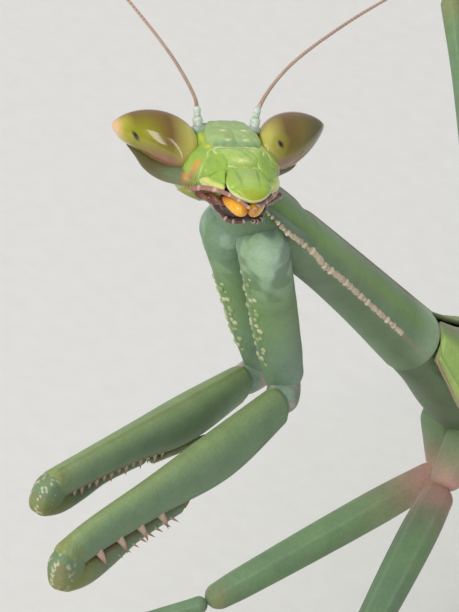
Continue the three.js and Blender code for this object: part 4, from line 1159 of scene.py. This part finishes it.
def upper_lip():
    """The lip shield: a dome with a crease down each side of its middle and a turned-up rim."""
    def surface(x, z):
        """The lip's front: a curve over the height, falling back with the square of x off the middle."""
        return profile(LIP_FRONT, z) - 0.12 * (x - FACE_MIDDLE) ** 2

    rings, x, z, k, face = domed(mirrored(LIP_HALF), surface, 0.25, 0.3, rows=70, points=200)
    mid = x - FACE_MIDDLE
    crease = hill(np.abs(mid), 0.4 + 0.1 * (z + 4.5), 0.07) * hill(z, -4.2, 0.6)
    swell = 0.07 * dot(mid, z, (0, -4.25), 0.32, 0.45) + 0.05 * hill(z, -5.05, 0.14) * (np.abs(mid) < 0.7)
    rings[..., 1] += face * (swell - 0.045 * crease - 0.06 * hill(z, -4.82, 0.09))
    # The leaf green in the two creases and towards the animal's left side of the lip is painted shade, and
    # the pale seam colour on the lower rim is painted highlight along that edge.
    tone = laid(LIME, (SAGE, 0.6 * dot(mid, z, (-0.15, -4.2), 0.5, 0.5)),
                (LIP_GREEN, 0.6 * dot(mid, z, (-0.1, -4.7), 0.5, 0.3)),
                (LIP_YELLOW, 0.9 * ramp(z, -5.0, -5.3)), (SEAM, 0.7 * (k > 0.97) * ramp(z, -4.2, -4.7)),
                (LEAF, 0.5 * crease + 0.35 * ramp(mid, 0.35, 1.35)))
    return tube(in_head(rings), tone)


def jaw(left):
    """A jaw plate over the cheek: a dome that follows the face, its lower outer edge cream."""
    def surface(x, z):
        """The jaw's front: it falls back with the square of x off the middle and a little downward."""
        return 1.6 - 0.3 * (x - FACE_MIDDLE) ** 2 + 0.05 * (z + 3.4)

    corners = (np.array(JAW) * (left, 1) + (FACE_MIDDLE, 0))[::left]
    rings, x, z, k, face = domed(corners, surface, 0.16, 0.9)
    mid = np.abs(x - FACE_MIDDLE)
    strip = ribbon(JAW_STRIP, mid, z, 0.12) * face
    rings[..., 1] += 0.03 * strip - 0.05 * ribbon(JAW_GROOVE, mid, z, 0.05) * face
    tone = laid(FACE_GREEN, (LIME, 0.5 * dot(mid, z, (1.1, -3.5), 0.3, 0.5)), (STRIP_CREAM, 0.95 * strip),
                (SEAM, 0.9 * (k > 0.955) * face))
    return tube(in_head(rings), tone)


def leaf_lobe(left):
    """A small flat cone with its point outward."""
    foot, tip = np.array((left * 1.45, 0.34, -3.86)), np.array((left * LEAF_REACH[left], 0.2, -3.52))
    shape, quads, fans, tint = spike(foot, tip, 0.3, LOBE_OLIVE, LOBE_TAN, rows=30, points=40)
    return in_head(shape), quads, fans, tint


def bulb(left):
    """A glossy lobe: a short limb that is fattest past its middle, and the rust root beside it."""
    rings, t, _ = limb((left * 0.86, 1.0, -4.64), (left * 0.1, 1.22, -5.7), BULB, up=(0, 1, 0),
                       rows=60, points=40)
    tone = laid(ORANGE, (ORANGE_DEEP, 0.9 * ramp(t, 0.458, 0.042)), (ORANGE_DEEP, 0.5 * hill(t, 1, 0.12)))
    root, t, a = limb((left * 1.8, 0.62, -4.08), (left * 0.75, 0.95, -4.9), BULB_ROOT, up=(0, 1, 0),
                      rows=60, points=40)
    streak = 0.5 + 0.5 * np.cos(3 * a + 14 * t)
    # The dark colour in the grooves between the root's raised streaks is painted shade.
    skin = laid(RUST_BROWN, (ORANGE_DEEP, 0.35 * streak), (MOUTH_PAINTED_SHADE, 0.6 * hill(streak, 0, 0.3)))
    return [tube(in_head(rings), tone), tube(in_head(raised(root, 0.04 * streak)), skin)]


lip_finish = cuticle("lip_cuticle", 0.22, mottle=0.1, patch=1.4, grain=0.12, coat=0.7)
bulb_finish = cuticle("bulb_cuticle", 0.16, mottle=0.2, patch=2.2, grain=0.12, coat=0.9, deep=0.2)
made("upper_lip", [upper_lip()], lip_finish, "labrum")
for side, left in SIDES.items():
    made(f"jaw_{side}", [jaw(left), leaf_lobe(left)], head_finish, f"mandible_{side}")
    made(f"inner_jaw_{side}", bulb(left), bulb_finish, f"maxilla_{side}")

# ---------------------------------------------------------------- mouth feelers
# Two pairs of thin jointed feelers. The longer pair are mauve and lie along the lip's edge, and the
# short dark pair are curled under the orange lobes. Each joint swells a little to its far end.
FEELERS = {
    "maxillary_r": [(-1.99, 0.6, -3.83), (-1.49, 1.08, -4.22), (-0.79, 1.42, -4.82), (-0.41, 1.55, -5.28),
                    (-0.04, 1.66, -5.84)],
    "maxillary_l": [(1.6, 0.5, -3.9), (1.39, 1.0, -4.39), (0.92, 1.25, -4.98), (0.36, 1.45, -5.5),
                    (0.12, 1.6, -5.82)],
    "labial_r": [(-0.95, 0.35, -4.7), (-0.85, 0.5, -5.04), (-0.68, 0.52, -5.42), (-0.4, 0.6, -5.58),
                 (0.02, 0.72, -5.64)],
    "labial_l": [(0.95, 0.3, -4.7), (0.85, 0.45, -5.04), (0.68, 0.5, -5.4), (0.45, 0.6, -5.56),
                 (0.3, 0.7, -5.62)],
}
MAUVE = lit(160, 112, 102)
MAUVE_PALE = lit(214, 190, 176)
FEELER_BROWN = lit(84, 52, 42)
FEELER_KINDS = {"maxillary": dict(joints=5, root=0.135, tip=0.07, colour=MAUVE),
                "labial": dict(joints=4, root=0.12, tip=0.09, colour=FEELER_BROWN)}
palp_finish = cuticle("palp_cuticle", 0.3, mottle=0.15, patch=2.0, coat=0.5)
for name, line in FEELERS.items():
    label, side = name.split("_")
    kind = FEELER_KINDS[label]
    t = np.linspace(0, 1, 200)[:, None]
    joints = (t * kind["joints"] + 0.2) % 1
    r = (kind["root"] + (kind["tip"] - kind["root"]) * t) * rounded(t / 0.03) * rounded((1 - t) / 0.06)
    r = r * (0.9 + 0.16 * joints ** 2 - 0.2 * hill(joints, 0, 0.07))
    rings = sweep(through(line, t[:, 0]), (0.1, 0.9, 0.1), r, r, around(28))
    tone = laid(kind["colour"], (MAUVE_PALE, 0.8 * (hill(joints, 0, 0.1) + hill(joints, 1, 0.1))))
    feeler = tube(in_head(rings), tone)
    made(f"{label}_feeler_{side}", [feeler], palp_finish, f"{label}_palp_{side}")

# ---------------------------------------------------------------- antennae
# Each stands in a round socket beside the shield: a glassy pale stem of two joints, and a long
# thin lash of about a hundred tiny tan rings.
LASHES = {
    "l": [(1.28, 1.55, -0.3), (1.8, 2, 0.4), (2.9, 2.4, 1.55), (5.45, 2.95, 3.4), (8.6, 3.1, 5.5),
          (11.4, 2.9, 7.3)],
    "r": [(-1.28, 1.55, -0.3), (-1.35, 1.8, 0), (-2, 2.4, 1.3), (-3.15, 3, 3.1), (-5, 3.3, 6.3),
          (-6.6, 3, 9)],
}
LASH_RINGS = 100
lash_width = [[0, 0.12], [0.1, 0.085], [0.5, 0.07], [1, 0.05]]
antenna_stem = [[0, 0.26], [0.25, 0.2], [0.5, 0.21], [0.62, 0.14], [0.85, 0.16], [1, 0.12]]
GLASS_GREEN = lit(206, 218, 206)
LASH_TAN = lit(186, 158, 140)
LASH_DARK = lit(126, 92, 74)
stem_finish = cuticle("stem_cuticle", 0.2, mottle=0.2, patch=3.0, coat=0.8, deep=0.3)
antenna_finish = cuticle("antenna_cuticle", 0.45, mottle=0.15)
for side, left in SIDES.items():
    root, top = np.array((left * 1.17, 0.85, -0.9)), np.array((left * 1.3, 1.66, -0.2))
    socket = tube(lump(root + (0, 0.08, 0.06), (0.31, 0.24, 0.24)), laid(TEAL, (GLASS_GREEN, 0.5)))
    rings, t, _ = limb(root, top, antenna_stem, up=(1, 0, 0))
    tone = laid(GLASS_GREEN, (TEAL, 0.5 * hill(t, 0.6, 0.05)), (SPOT_CREAM, 0.6 * hill(t, 0.1, 0.12)))
    stem = tube(in_head(rings), tone)
    made(f"antenna_{side}_stem", [socket, stem], stem_finish, f"antenna_{side}_base")
    t = np.linspace(0, 1, 1400)[:, None]
    band = 0.5 + 0.5 * np.cos(2 * np.pi * t * LASH_RINGS)
    r = profile(lash_width, t) * (1 - 0.15 * band ** 4)
    rings = sweep(through(LASHES[side], t[:, 0]), (0, 1, -0.4), r, r, around(12))
    tone = laid(LASH_TAN, (LASH_DARK, 0.6 * band ** 3), (GLASS_GREEN, ramp(t, 0.071, 0)))
    lash = tube(in_head(rings), tone)
    made(f"antenna_{side}_lash", [lash], antenna_finish, f"antenna_{side}_whip")

# ---------------------------------------------------------------- neck
# A short soft tube between the back of the head and the front of the pronotum, in rings of pale
# pinkish skin.
nape = in_head(np.array((0, -1.2, -1.9)))
rings, t, _ = limb(pro_front - pro_along * 0.6, nape, [[0, 0.72], [1, 0.8]], up=(0, 1, 0))
skin = tube(raised(rings, 0.05 * np.cos(2 * np.pi * t * 5)), HINGE_PINK)
made("neck", [skin], hinge_finish, "neck")
